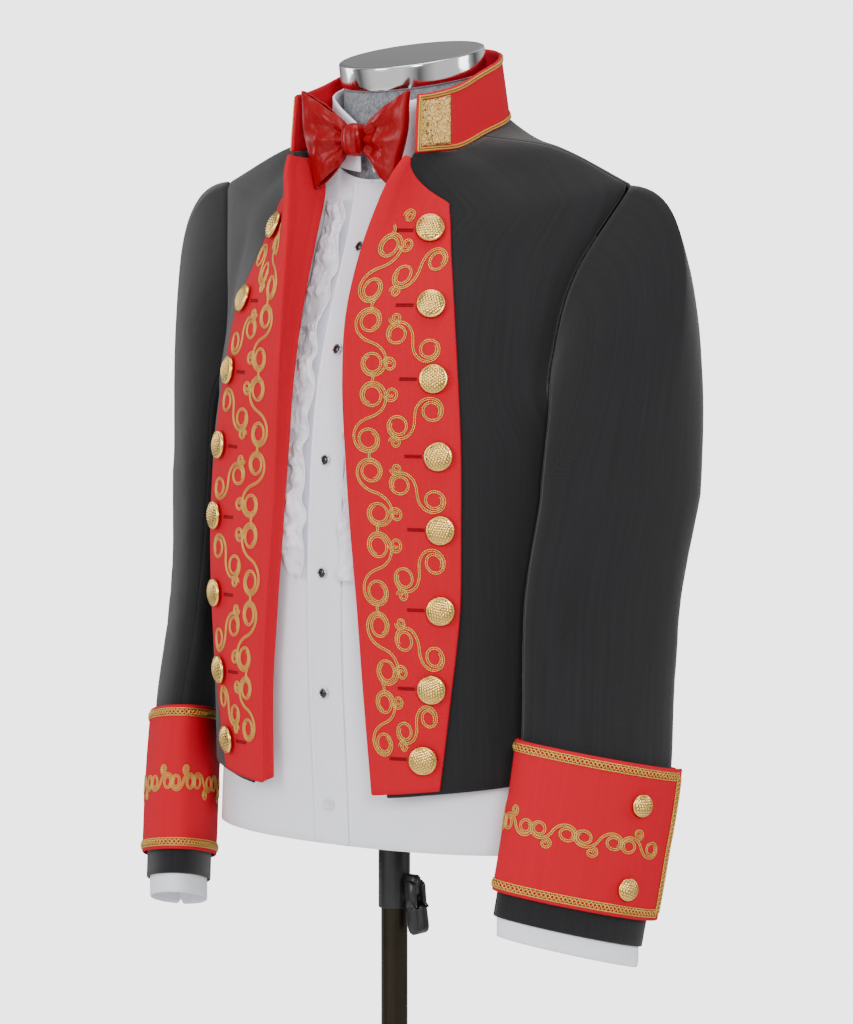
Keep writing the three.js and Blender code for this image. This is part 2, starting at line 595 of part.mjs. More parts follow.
// ---- collars -------------------------------------------------------------------------------
function collarRows(stations, columns, heights, reach = 1) {
  const seam = stations.map((s) => vec(s.seam));
  const top = stations.map((s) => vec(s.top));
  const last = stations.length - 1;
  return heights.map((h) => spread(columns, -reach, reach).map((a) => {
    const at = (1 - Math.abs(a)) * last;
    const low = smoothPoint(seam, at);
    const high = smoothPoint(top, at);
    const point = low.lerp(high, h);
    return a < 0 ? mirrored(point) : point;
  }).reverse());
}
const fromNeck = (p) => new THREE.Vector3(p.x, p.y - 28, 0);
function collars() {
  const rows = collarRows(COLLAR_STATIONS, 22, [0, 0.5, 1]);
  addMesh('collar', wallGeometry(rows, gridNormals(rows, fromNeck), COLLAR_CLOTH), 'redCloth');
  const white = collarRows(SHIRT_COLLAR_STATIONS, 16, [0, 0.5, 1]);
  addMesh('shirt_collar', wallGeometry(white, gridNormals(white, fromNeck), 2), 'cotton');
  const seam = new THREE.CatmullRomCurve3(COLLAR_STATIONS.map((s) => vec(s.seam)));
  const top = new THREE.CatmullRomCurve3(COLLAR_STATIONS.map((s) => vec(s.top)));
  for (const { side, flip } of SIDES) {
    const patch = [0.09, 0.5, 0.91].map((h) =>
      [3, 3 + COLLAR_PATCH.length / 2, 3 + COLLAR_PATCH.length].map((d) => {
      const low = seam.getPointAt(d / seam.getLength());
      return low.lerp(top.getPointAt(d / top.getLength()), h);
    }));
    const normals = gridNormals(patch, fromNeck);
    const lift = COLLAR_CLOTH / 2 + 0.5 + COLLAR_PATCH.cloth / 2;
    addStrip(`collar_patch_${side}`, 'goldCloth', { rows: patch, normals }, lift, COLLAR_PATCH.cloth, flip);
  }
}

// ---- shirt ---------------------------------------------------------------------------------
const radians = (degrees) => degrees * Math.PI / 180;
const SHIRT_OUTER = SHIRT_EASE + SHIRT_CLOTH;
const SIDE_GAP = 0.006;          // half the gap of the shirt's side and front seams, in radians
const SHOULDER_GAP = 0.022;
const shirtSeam = (t) => (t > 8 ? SHOULDER_GAP : SIDE_GAP);
const SHIRT_ROWS = FORM_ROWS.filter((t) => t <= SHIRT_TOP);
const formArm = (key, t) => radians(smooth(FORM_RINGS.map((r) => r[key]), t));
function shirtBody() {
  const surface = (angle, t) => formPoint(angle, t);
  for (const { side, flip } of SIDES) {
    const across = (t) => spread(8, 0, formArm('armFront', t) - shirtSeam(t))
      .map((a) => Math.max(a, SIDE_GAP));
    panel(`shirt_front_${side}`, 'cotton', surface, across, SHIRT_ROWS, SHIRT_EASE + SHIRT_CLOTH / 2,
      SHIRT_CLOTH, flip);
  }
  const across = (t) => spread(16, formArm('armBack', t) + shirtSeam(t),
    2 * Math.PI - formArm('armBack', t) - shirtSeam(t));
  panel('shirt_back', 'cotton', surface, across, SHIRT_ROWS, SHIRT_EASE + SHIRT_CLOTH / 2, SHIRT_CLOTH,
    (p) => p);
}

// The point and normal of the shirt's front at a width and height, lifted off its outer face.
function onShirt(x, z, height) {
  let low = 0;
  let high = SHIRT_TOP + 1;
  const ringAt = (t) => ({
    half: smooth(FORM_RINGS.map((r) => r.half), t), round: smooth(FORM_RINGS.map((r) => r.round), t),
  });
  const angleAt = (t) => {
    const { half, round } = ringAt(t);
    return Math.sign(x) * Math.asin(Math.min(1, (Math.abs(x) / half) ** (round / 2)));
  };
  for (let i = 0; i < 40; i++) {
    const t = (low + high) / 2;
    if (formPoint(angleAt(t), t).z < z) low = t;
    else high = t;
  }
  const angle = angleAt(low);
  const point = formPoint(angle, low);
  const side = (dx, dt) => {
    const t = low + dt;
    const { half, round } = ringAt(t);
    const turned = Math.asin(Math.min(1, (Math.abs(x + dx) / half) ** (round / 2)));
    return formPoint(Math.sign(x + dx) * turned, t);
  };
  const normal = side(2, 0).sub(side(-2, 0)).cross(side(0, 0.02).sub(side(0, -0.02))).normalize();
  if (normal.y > 0) normal.negate();
  return { point: point.addScaledVector(normal, SHIRT_OUTER + height), normal };
}

function placket() {
  const rows = spread(14, 0, 1).map((w) => {
    const z = mix(PLACKET.bottom, PLACKET.top, w);
    return [-1, 0.001, 1].map((a) => onShirt(a * PLACKET.halfWidth, z, 0.5 + PLACKET.cloth / 2));
  });
  const points = rows.map((row) => row.map((r) => r.point));
  const normals = rows.map((row) => row.map((r) => r.normal));
  addMesh('placket', wallGeometry(points, normals, PLACKET.cloth), 'cotton');
}

// The gathered bib: a sheet each side of the placket whose gathers run across, deepest near the
// placket, with its lower end rounded off.
function ruffles() {
  for (const [index, { side }] of SIDES.entries()) {
    const sign = index === 0 ? 1 : -1;
    const rows = spread(28, 0, 1).map((w) => {
      const z = mix(RUFFLE.bottom, RUFFLE.top, w);
      const rounded = Math.sqrt(Math.max(0, 1 - Math.max(0, 1 - w / 0.07) ** 2));
      const outer = mix(RUFFLE.inner + 12, RUFFLE.outer, rounded);
      return spread(4, 0, 1).map((a) => {
        const gather = 0.5 + 0.5 * Math.sin(2 * Math.PI * (w * RUFFLE.waves + 0.22 * a) + index * 1.7);
        const drift = 0.3 * Math.sin(w * 19 + index * 2 + a * 3);
        const depth = RUFFLE.depth * (1 - 0.45 * a) * (0.7 * gather + drift + 0.3);
        return onShirt(sign * mix(RUFFLE.inner, outer, a), z, 0.4 + RUFFLE.cloth / 2 + Math.max(0, depth));
      });
    });
    const points = rows.map((row) => row.map((r) => r.point));
    const normals = gridNormals(points, () => new THREE.Vector3(0, -1, 0.2));
    addMesh(`ruffle_${side}`, wallGeometry(points, normals, RUFFLE.cloth), 'cotton');
  }
}

// ---- buttons -------------------------------------------------------------------------------
function lathed(profile, sides) {
  return new THREE.LatheGeometry(profile.map(([r, h]) => new THREE.Vector2(r, h)), sides);
}
function buttonProfile(diameter) {
  const r = diameter / 2;
  return [[0, 0], [r * 0.45, 0], [r, 2.3], [r * 0.75, 5.6], [0, 7.1]];
}
function fasten(name, geometry, finish, point, normal, flip = (p) => p) {
  const mesh = addMesh(name, geometry, finish);
  mesh.position.copy(flip(point));
  mesh.quaternion.setFromUnitVectors(new THREE.Vector3(0, 1, 0), flip(normal));
}
const HOLLOW_CHEST = 1350;       // above this the front curves in, and a button stands higher
function lapelSeat(z) {
  const across = 1 / 3;
  let low = 0;
  let high = SHOULDER;
  for (let i = 0; i < 30; i++) {
    const t = (low + high) / 2;
    if (coatFront(across, t).z < z) low = t;
    else high = t;
  }
  const point = coatFront(across, low);
  const normal = normalOf(coatFront, across, low, fromAxis(point));
  const lift = FACING_LIFT + FACING_CLOTH / 2 + (z > HOLLOW_CHEST ? 1.6 : 0.7);
  return { point: point.addScaledVector(normal, lift), normal };
}
const CUFF_BUTTONS = [{ z: 911, turn: 0.978, lift: -0.1 }, { z: 844, turn: 0.978, lift: 0.1 }];
function buttons() {
  for (const { side, flip } of SIDES) {
    LAPEL_BUTTON_HEIGHTS.forEach((z, i) => {
      const { point, normal } = lapelSeat(z);
      fasten(`button_${side}_${i + 1}`, lathed(buttonProfile(BUTTON_DIAMETER), 10), 'gold', point, normal,
        flip);
    });
    CUFF_BUTTONS.forEach(({ z, turn, lift }, i) => {
      const ring = sleeveRing(z);
      const off = SLEEVE_CLOTH / 2 + CUFF.cloth + CUFF.standOff;
      const spot = (at) => sleeveOval(ring, ovalAngle(at), off
        + CUFF.ventOff * Math.max(0, 1 - Math.abs(at - VENT_TURN) / 0.12) ** 2);
      const along = spot(turn + 0.01).sub(spot(turn - 0.01));
      const normal = along.cross(new THREE.Vector3(0, 0, 1)).normalize();
      const point = spot(turn);
      if (normal.dot(awayFromArm(point)) < 0) normal.negate();
      const profile = buttonProfile(CUFF_BUTTON_DIAMETER);
      fasten(`cuff_button_${side}_${i + 1}`, lathed(profile, 10), 'gold',
        point.addScaledVector(normal, lift), normal, flip);
    });
  }
  const studLift = 0.5 + PLACKET.cloth + 0.3;
  STUD_HEIGHTS.forEach((z, i) => {
    const { point, normal } = onShirt(0.01, z, studLift);
    const r = STUD_DIAMETER / 2;
    const profile = [[0, 0], [r, 0], [r, 1.1], [r * 0.7, 2.4], [0, 3.1]];
    fasten(`stud_${i + 1}`, lathed(profile, 8), 'onyx', point, normal);
  });
  const { point, normal } = onShirt(0.01, SHIRT_BUTTON_HEIGHT, studLift);
  const profile = [[0, 0], [5, 0], [5, 1.5], [3.6, 1.9], [0, 1.4]];
  fasten('shirt_button', lathed(profile, 8), 'pearl', point, normal);
}

// ---- bow tie -------------------------------------------------------------------------------
// Each wing is one strip that runs out from the knot behind, folds over at the end and comes
// back in front, pleated where it enters the knot.
function bowTie() {
  for (const { side, flip } of SIDES) {
    const rows = spread(10, -1, 1).map((s) => {
      const out = 1 - Math.abs(s) ** 1.7;
      return spread(8, -1, 1).map((q) => {
        const half = mix(BOW.innerHeight, BOW.outerHeight, out ** 0.8) / 2;
        const reach = mix(BOW.start, BOW.end + BOW.slant * q, out);
        const swell = Math.sin(Math.PI * Math.min(1, (1 - out) * 1.25 + 0.06)) ** 0.6;
        const puff = mix(BOW.layerGap, BOW.puff, swell) * Math.sign(s);
        const pleat = Math.cos(q * Math.PI * BOW.pleats) * BOW.pleatDepth * (1 - out) ** 0.7;
        const still = s === 0 ? 0 : puff * (1 - 0.35 * q * q) + pleat * 0.6;
        return flip(new THREE.Vector3(reach, BOW.y - still, BOW.z + half * q));
      });
    });
    const end = side === 'left' ? 1 : -1;
    const outward = (p, i) => new THREE.Vector3(i === 5 ? end : 0, Math.sign(5 - i), 0);
    const normals = gridNormals(rows, outward);
    addMesh(`bow_wing_${side}`, wallGeometry(rows, normals, BOW.cloth), 'satin');
  }
  const [halfX, halfY, halfZ] = BOW.knotHalf;
  const rings = spread(8, -0.96, 0.96).map((h) => spread(12, 0, 2 * Math.PI).slice(0, -1).map((angle) => {
    const swell = (1 - Math.abs(h) ** 2.6) ** 0.4;
    const cos = Math.cos(angle);
    const sin = Math.sin(angle);
    const box = (v) => Math.sign(v) * Math.abs(v) ** 0.7;
    return new THREE.Vector3((halfX - 2) * swell * box(cos), BOW.y + halfY * swell * box(sin),
      BOW.z + halfZ * h);
  }));
  addMesh('bow_knot', ringBody(rings), 'satin');
}

// ---- dress form and stand ------------------------------------------------------------------
function dressForm() {
  const angles = spread(FORM_COLUMNS, 0, 2 * Math.PI).slice(0, -1);
  const bore = (z) => angles.map((a) => new THREE.Vector3(BORE_RADIUS * Math.sin(a),
    -BORE_RADIUS * Math.cos(a), z));
  const neck = FORM_RINGS.at(-1);
  const tilt = Math.atan2(neck.zBack - neck.zFront, neck.yBack - neck.yFront);
  const centre = new THREE.Vector3(0, neck.yMid, (neck.zFront + neck.zBack) / 2);
  const neckEdge = angles.map((a) => {
    const p = formPoint(a, FORM_RINGS.length - 1);
    return p.setZ(centre.z + (p.y - centre.y) * Math.tan(tilt));
  });
  const outer = FORM_ROWS.slice(0, -1).map((t) => angles.map((a) => formPoint(a, t)));
  const bottom = FORM_RINGS[0].zFront;
  addMesh('form_torso', ringBody([bore(BORE_TOP), bore(bottom), ...outer, neckEdge]), 'heather');

  const capHeight = 20;
  const profile = [[0.93, 0], [1.02, 0.8], [1.03, 2], [1.03, capHeight - 2], [1.0, capHeight - 0.5],
    [0.95, capHeight]];
  const up = new THREE.Vector3(0, -Math.sin(tilt), Math.cos(tilt));
  const cap = profile.map(([grow, h]) => neckEdge.filter((_, i) => i % 2 === 0).map((p) => (
    p.clone().sub(centre).multiplyScalar(grow).add(centre).addScaledVector(up, h + SEAM_GAP))));
  addMesh('neck_cap', ringBody(cap), 'chrome');
}

const wasm = await Module();
wasm.setup();
function solid(geometry, matrix = new THREE.Matrix4()) {
  const bare = geometry.clone().applyMatrix4(matrix);
  bare.deleteAttribute('normal');
  bare.deleteAttribute('uv');
  const merged = mergeVertices(bare, 1e-4);
  return new wasm.Manifold(new wasm.Mesh({
    numProp: 3, vertProperties: merged.attributes.position.array,
      triVerts: Uint32Array.from(merged.index.array),
  }));
}
function geometryOf(body) {
  const { vertProperties, triVerts } = body.getMesh();
  const geometry = new THREE.BufferGeometry();
  geometry.setAttribute('position', new THREE.BufferAttribute(new Float32Array(vertProperties), 3));
  geometry.setIndex(Array.from(triVerts));
  return geometry;
}
const place = (x, y, z, rx = 0) => new THREE.Matrix4().makeRotationX(rx).setPosition(x, y, z);
const UPRIGHT = Math.PI / 2;

function stand() {
  const { radius, rim, dome, hub, hubTop } = BASE;
  const disc = lathed([[0, 0], [radius, 0], [radius, rim], [radius - 3, rim + 2], [hub + 30, dome],
    [hub, dome + 3], [hub - 2, hubTop], [POLE_RADIUS + 0.4, hubTop], [POLE_RADIUS + 0.4, dome],
      [0, dome]], 32);
  addMesh('base_disc', geometryOf(solid(disc, place(0, 0, 0, UPRIGHT))), 'blackMetal');
  const length = POLE_TOP - dome - 0.3;
  const pole = lathed([[0, 0], [POLE_RADIUS, 0], [POLE_RADIUS, length], [0, length]], 24);
  addMesh('pole', geometryOf(solid(pole, place(0, 0, dome + 0.3, UPRIGHT))), 'bronze');
}

// The black tube under the form, with a lug that carries the clamp lever on its pin.
function clamp() {
  const { inner, outer, bottom, top } = TUBE;
  const tube = solid(lathed([[inner, bottom], [outer, bottom], [outer, top], [inner, top],
    [inner, bottom]], 24),
    place(0, 0, 0, UPRIGHT));
  const lugDepth = LEVER.pinX + 4 - (outer - 1);
  const lug = solid(new THREE.BoxGeometry(lugDepth, LEVER.lug, 18),
    place(outer - 1 + lugDepth / 2, 0, LEVER.pinZ + 1));
  const bore = solid(new THREE.CylinderGeometry(inner + 0.6, inner + 0.6, 200, 24),
    place(0, 0, bottom, UPRIGHT));
  const hole = solid(new THREE.CylinderGeometry(LEVER.pin + 0.35, LEVER.pin + 0.35, 30, 12),
    place(LEVER.pinX, 0, LEVER.pinZ));
  addMesh('socket_tube', geometryOf(tube.add(lug.subtract(bore)).subtract(hole)), 'blackMetal');

  const width = LEVER.lug + 9;
  const outline = new THREE.Shape();
  const { pinX, pinZ, cheek, reach } = LEVER;
  outline.moveTo(-cheek + 1.5, 0);
  outline.absarc(0, 0, cheek - 1, Math.PI, 0, true);
  outline.lineTo(cheek + 2.5, -reach + 8);
  outline.quadraticCurveTo(cheek + 5, -reach, cheek - 1, -reach);
  outline.quadraticCurveTo(-1.5, -reach + 2, -2.5, -reach + 14);
  outline.closePath();
  const plate = new THREE.ExtrudeGeometry(outline, { depth: width, bevelEnabled: false, curveSegments: 6 });
  const arm = solid(plate, place(pinX, width / 2, pinZ, UPRIGHT));
  const slot = solid(new THREE.BoxGeometry(40, LEVER.lug + 1.2, 34), place(pinX, 0, pinZ + 1));
  const pin = solid(new THREE.CylinderGeometry(LEVER.pin, LEVER.pin, width - 1, 12), place(pinX, 0, pinZ));
  addMesh('clamp_lever', geometryOf(arm.subtract(slot).add(pin)), 'blackMetal');
}

jacketBody();
facings();
sleeves();
cuffs();
collars();
shirtBody();
placket();
ruffles();
buttons();
bowTie();
dressForm();
stand();
clamp();

export default group;
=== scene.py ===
"""Dresses a mess-style jacket, a bib shirt and a bow tie on a limbless dress form.

Every surface is worked out in millimetres from the same tailor's lines as the frame's solids, in finer
grids, and goes into its mesh in metres. +Z is up, the front faces -Y and the wearer's left is +X.
"""

from __future__ import annotations

import json
import logging
import math
from dataclasses import dataclass, field
from enum import Enum
from typing import Any, Callable, Iterable, Sequence

import bpy
import numpy as np
from mathutils import Matrix
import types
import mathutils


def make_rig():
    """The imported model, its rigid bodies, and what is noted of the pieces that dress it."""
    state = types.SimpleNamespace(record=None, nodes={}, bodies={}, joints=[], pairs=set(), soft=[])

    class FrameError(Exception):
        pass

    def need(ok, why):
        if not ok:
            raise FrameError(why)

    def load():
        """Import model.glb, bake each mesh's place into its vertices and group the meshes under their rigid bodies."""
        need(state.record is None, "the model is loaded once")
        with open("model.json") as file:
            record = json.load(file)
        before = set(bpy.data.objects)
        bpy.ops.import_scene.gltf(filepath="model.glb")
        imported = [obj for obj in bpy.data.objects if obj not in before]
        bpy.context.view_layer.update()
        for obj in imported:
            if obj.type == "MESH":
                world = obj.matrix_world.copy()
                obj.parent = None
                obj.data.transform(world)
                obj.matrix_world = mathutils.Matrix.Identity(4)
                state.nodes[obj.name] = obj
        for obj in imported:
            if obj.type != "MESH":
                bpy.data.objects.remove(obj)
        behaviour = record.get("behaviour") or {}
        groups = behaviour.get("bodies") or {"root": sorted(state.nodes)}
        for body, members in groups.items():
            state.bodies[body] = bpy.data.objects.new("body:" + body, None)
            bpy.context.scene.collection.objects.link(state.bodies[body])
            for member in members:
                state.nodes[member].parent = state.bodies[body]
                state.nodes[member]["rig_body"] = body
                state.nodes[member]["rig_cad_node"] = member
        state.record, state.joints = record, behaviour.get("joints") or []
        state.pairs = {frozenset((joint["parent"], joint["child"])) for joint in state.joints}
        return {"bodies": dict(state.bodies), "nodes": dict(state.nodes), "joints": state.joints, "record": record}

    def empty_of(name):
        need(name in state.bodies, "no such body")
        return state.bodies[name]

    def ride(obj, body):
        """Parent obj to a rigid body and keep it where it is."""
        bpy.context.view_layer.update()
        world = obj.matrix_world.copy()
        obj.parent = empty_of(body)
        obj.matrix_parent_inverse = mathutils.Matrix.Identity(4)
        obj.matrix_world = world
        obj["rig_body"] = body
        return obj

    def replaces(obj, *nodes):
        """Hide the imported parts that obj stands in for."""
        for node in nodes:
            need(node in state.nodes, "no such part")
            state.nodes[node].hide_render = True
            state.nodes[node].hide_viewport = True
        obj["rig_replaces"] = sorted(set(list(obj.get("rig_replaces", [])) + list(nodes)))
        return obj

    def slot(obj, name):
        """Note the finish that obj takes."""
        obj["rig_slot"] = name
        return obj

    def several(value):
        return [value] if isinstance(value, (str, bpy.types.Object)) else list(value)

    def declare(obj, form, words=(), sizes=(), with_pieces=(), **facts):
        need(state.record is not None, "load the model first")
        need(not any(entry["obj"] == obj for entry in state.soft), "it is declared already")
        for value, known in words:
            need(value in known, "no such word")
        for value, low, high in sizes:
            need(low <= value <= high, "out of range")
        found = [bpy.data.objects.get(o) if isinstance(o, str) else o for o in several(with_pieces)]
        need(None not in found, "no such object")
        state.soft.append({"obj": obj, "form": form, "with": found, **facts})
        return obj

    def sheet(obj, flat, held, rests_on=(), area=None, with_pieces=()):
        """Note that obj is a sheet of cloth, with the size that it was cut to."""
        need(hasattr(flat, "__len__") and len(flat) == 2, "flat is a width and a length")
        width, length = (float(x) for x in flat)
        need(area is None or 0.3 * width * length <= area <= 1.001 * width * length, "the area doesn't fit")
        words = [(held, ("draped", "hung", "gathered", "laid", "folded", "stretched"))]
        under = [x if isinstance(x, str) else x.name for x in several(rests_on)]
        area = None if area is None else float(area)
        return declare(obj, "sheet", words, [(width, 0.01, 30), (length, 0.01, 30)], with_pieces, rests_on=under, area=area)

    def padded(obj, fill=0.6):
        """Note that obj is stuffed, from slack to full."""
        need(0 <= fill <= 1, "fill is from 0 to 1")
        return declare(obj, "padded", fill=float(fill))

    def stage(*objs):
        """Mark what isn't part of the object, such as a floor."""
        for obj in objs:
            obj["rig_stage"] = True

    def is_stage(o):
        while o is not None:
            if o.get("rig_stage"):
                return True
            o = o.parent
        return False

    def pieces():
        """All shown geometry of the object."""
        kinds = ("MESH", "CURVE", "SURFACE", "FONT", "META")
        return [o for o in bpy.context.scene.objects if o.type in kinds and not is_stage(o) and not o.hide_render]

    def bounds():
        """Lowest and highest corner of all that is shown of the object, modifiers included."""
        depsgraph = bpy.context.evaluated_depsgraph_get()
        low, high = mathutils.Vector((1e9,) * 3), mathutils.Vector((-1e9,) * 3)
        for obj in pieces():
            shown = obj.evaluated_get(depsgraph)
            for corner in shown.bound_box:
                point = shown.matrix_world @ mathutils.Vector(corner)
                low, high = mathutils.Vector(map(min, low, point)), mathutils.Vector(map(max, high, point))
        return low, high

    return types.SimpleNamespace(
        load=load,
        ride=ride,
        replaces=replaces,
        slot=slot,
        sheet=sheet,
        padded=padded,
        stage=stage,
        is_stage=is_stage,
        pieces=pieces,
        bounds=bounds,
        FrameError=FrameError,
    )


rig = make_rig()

Array = np.ndarray
Surface = Callable[[Array, Array], Array]
LOG = logging.getLogger("jacket")
MM = 0.001  # millimetres in a metre's units
TURN = 2 * math.pi
SIZE_FILE = "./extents.json"


class Side(Enum):
    """The wearer's side that a piece is on."""

    LEFT = "left"
    RIGHT = "right"

    def place(self, points: Array) -> Array:
        """Points of the left side, mirrored for the right."""
        return points if self is Side.LEFT else points * np.array([-1.0, 1.0, 1.0])


# ---- curves and grids ----------------------------------------------------------------------
def columns(names: str, *rows: Sequence) -> dict[str, Array]:
    """Turns a table of rows into one array for each named column.

    Args:
        names: the columns' names, with spaces between.
        rows: each row's values, in the same order.

    Returns:
        A dict of column name to array.
    """
    return {name: np.array(column, float) for name, column in zip(names.split(), zip(*rows))}


def smooth(guides: Array, at: Array, corners: Sequence[int] = ()) -> Array:
    """A smooth value through a row of guides.

    Between two guides it is the cubic with their values and with slopes from the guides next to them; at an
    end or a corner the slope is that of the chord.

    Args:
        guides: count x 3 points, or count x grid x 3, a stack of guides of their own for each grid place.
        at: the place along the guides, from 0 to count - 1.
        corners: guides where the curve may break.

    Returns:
        The value at each place.
    """
    at = np.asarray(at, float)
    guides = np.asarray(guides, float)
    flat = guides.ndim == 1
    if flat:
        guides = guides[:, None]
    if guides.ndim == 2:
        guides = guides.reshape(len(guides), *(1,) * at.ndim, -1)
    count = len(guides)
    stack = np.broadcast_to(guides, (count, *at.shape, guides.shape[-1]))
    low = np.clip(np.floor(at).astype(int), 0, count - 2)

    def pick(index: Array) -> Array:
        """The guide with this number at each place."""
        return np.take_along_axis(stack, np.clip(index, 0, count - 1)[None, ..., None], axis=0)[0]

    s = (at - low)[..., None]
    here, there = pick(low), pick(low + 1)
    step = there - here
    start_free = ((low == 0) | np.isin(low, corners))[..., None]
    end_free = ((low + 1 == count - 1) | np.isin(low + 1, corners))[..., None]
    before = np.where(start_free, step, (there - pick(low - 1)) / 2)
    after = np.where(end_free, step, (pick(low + 2) - here) / 2)
    s2, s3 = s**2, s**3
    value = here * (2 * s3 - 3 * s2 + 1) + before * (s3 - 2 * s2 + s) + there * (3 * s2 - 2 * s3)
    value = value + after * (s3 - s2)
    return value[..., 0] if flat else value


def unit(vectors: Array) -> Array:
    """The vectors at length one."""
    return vectors / np.maximum(np.linalg.norm(vectors, axis=-1, keepdims=True), 1e-9)


def mixed(a: Array, b: Array, share: Array) -> Array:
    """The value at a share of the way from a to b."""
    return a + (b - a) * share


def eased(x: Array, low: float, high: float) -> Array:
    """0 below low, 1 above high, and the cubic 3s^2 - 2s^3 between."""
    s = np.clip((np.asarray(x, float) - low) / (high - low), 0, 1)
    return s * s * (3 - 2 * s)


def mesh_grid(rows: Array, across: Array) -> tuple[Array, Array]:
    """Row and column values as two grids, rows first."""
    down, over = np.meshgrid(rows, across, indexing="ij")
    return down, over


def grid_normals(points: Array, outside: Callable[[Array], Array], closed: bool = False) -> Array:
    """Normals of a grid, the cross product of its steps down and across.

    Args:
        points: rows x columns x 3.
        outside: gives a vector that roughly points outwards at each point.
        closed: whether the last column meets the first.

    Returns:
        Unit normals, all on the side that outside points to on the whole.
    """
    down = np.gradient(points, axis=0)
    if closed:
        across = np.roll(points, -1, axis=1) - np.roll(points, 1, axis=1)
    else:
        across = np.gradient(points, axis=1)
    normals = unit(np.cross(down, across))
    return normals if np.sum(normals * outside(points)) > 0 else -normals


def surface_normal(surface: Surface, a: Array, b: Array, towards: Array) -> Array:
    """The normal of a surface of two parameters, from small steps along both.

    Args:
        surface: the surface.
        a: first parameter.
        b: second parameter.
        towards: a vector on the side the normal is to point to.

    Returns:
        Unit normals.
    """
    step = 0.002
    along_a = surface(a + step, b) - surface(a - step, b)
    along_b = surface(a, b + step) - surface(a, b - step)
    normal = unit(np.cross(along_a, along_b))
    return normal * np.where(np.sum(normal * towards, axis=-1, keepdims=True) < 0, -1.0, 1.0)


def arc_lengths(points: Array, axis: int) -> Array:
    """How far each point lies along its row or column, in millimetres, from the first."""
    steps = np.linalg.norm(np.diff(points, axis=axis), axis=-1)
    pad = [(0, 0), (0, 0)]
    pad[axis] = (1, 0)
    return np.pad(np.cumsum(steps, axis=axis), pad)


def between(table: Array, row: Array, column: Array) -> Array:
    """A grid's value at fractional rows and columns, mixed from its four neighbours."""
    row = np.clip(row, 0, table.shape[0] - 1.001)
    column = np.clip(column, 0, table.shape[1] - 1.001)
    i, j = row.astype(int), column.astype(int)
    a, b = (row - i)[..., None], (column - j)[..., None]
    low = table[i, j] * (1 - b) + table[i, j + 1] * b
    high = table[i + 1, j] * (1 - b) + table[i + 1, j + 1] * b
    return low * (1 - a) + high * a


def crumple(place: Array, size: float, seed: int, sharp: float = 0.0) -> Array:
    """Soft random folds between about -1 and 1.

    The sum of sine waves in random directions over four octaves, each half as long and deep as the one before,
    bent by one another; sharp turns the waves' troughs into creases by 1 - 2|sin|.

    Args:
        place: grid x 2 or x 3, in millimetres.
        size: length of the longest waves.
        seed: chooses the directions and phases.
        sharp: 0 for soft waves to 1 for creases.

    Returns:
        The height at each place.
    """
    rng = np.random.default_rng(seed)
    total = np.zeros(place.shape[:-1])
    bend = np.zeros_like(total)
    for octave in range(4):
        for _ in range(3):
            direction = unit(rng.normal(size=place.shape[-1]))
            inside = place @ direction * (TURN * 2**octave / size) + rng.uniform(0, TURN) + 1.3 * bend
            soft = np.sin(inside)
            total = total + mixed(soft, 1 - 2 * np.abs(soft), sharp) / 2**octave
            bend = bend + soft / 3
    return total / 4.2


# ---- shapes --------------------------------------------------------------------------------
@dataclass
class Shape:
    """Faces over points, in millimetres, with a place on the cloth (u, v in metres) for each corner."""

    points: Array
    quads: Array
    quad_uv: Array
    triangles: Array = field(default_factory=lambda: np.zeros((0, 3), int))
    triangle_uv: Array = field(default_factory=lambda: np.zeros((0, 3, 2)))

    def outward(self) -> Shape:
        """The same closed shape with its faces turned so that its volume is positive."""
        p = self.points
        fans = [self.quads[:, [0, 1, 2]], self.quads[:, [0, 2, 3]], self.triangles]
        a, b, c = (p[np.concatenate([fan[:, k] for fan in fans])] for k in range(3))
        if np.sum(a * np.cross(b, c)) >= 0:
            return self
        quads, triangles = self.quads[:, ::-1], self.triangles[:, ::-1]
        return Shape(p, quads, self.quad_uv[:, ::-1], triangles, self.triangle_uv[:, ::-1])

    def moved(self, change: Callable[[Array], Array]) -> Shape:
        """The shape with its points changed, faces still outwards."""
        turned = Shape(change(self.points), self.quads, self.quad_uv, self.triangles, self.triangle_uv)
        return turned.outward()


def joined(shapes: Iterable[Shape]) -> Shape:
    """Several shapes as one."""
    shapes = list(shapes)
    starts = np.cumsum([0] + [len(s.points) for s in shapes[:-1]])
    return Shape(
        np.concatenate([s.points for s in shapes]),
        np.concatenate([s.quads + start for s, start in zip(shapes, starts)]),
        np.concatenate([s.quad_uv for s in shapes]),
        np.concatenate([s.triangles + start for s, start in zip(shapes, starts)]),
        np.concatenate([s.triangle_uv for s in shapes]),
    )


def grid_ids(rows: int, width: int, closed: bool, offset: int = 0) -> tuple[Array, Array]:
    """Corner numbers of a grid's quads, for its points and for its places on the cloth.

    Args:
        rows: rows of points.
        width: points in a row.
        closed: whether the last column meets the first.
        offset: number of the grid's first point.

    Returns:
        Quads as point numbers, and as numbers into a rows x (width, or width + 1 if closed) table.
    """
    spans = width if closed else width - 1
    table = width + 1 if closed else width
    i, j = (a.ravel() for a in mesh_grid(np.arange(rows - 1), np.arange(spans)))
    corner = [(i, j), (i, j + 1), (i + 1, j + 1), (i + 1, j)]
    quads = np.stack([offset + a * width + b % width for a, b in corner], axis=1)
    places = np.stack([a * table + b for a, b in corner], axis=1)
    return quads, places


def cloth_places(points: Array, closed: bool) -> Array:
    """Each grid point's place on the cloth, in metres: along its row from the middle, and along its column."""
    if closed:
        points = np.concatenate([points, points[:, :1]], axis=1)
    u = arc_lengths(points, 1)
    return np.stack([u - u[:, -1:] / 2, arc_lengths(points, 0)], axis=-1) * MM


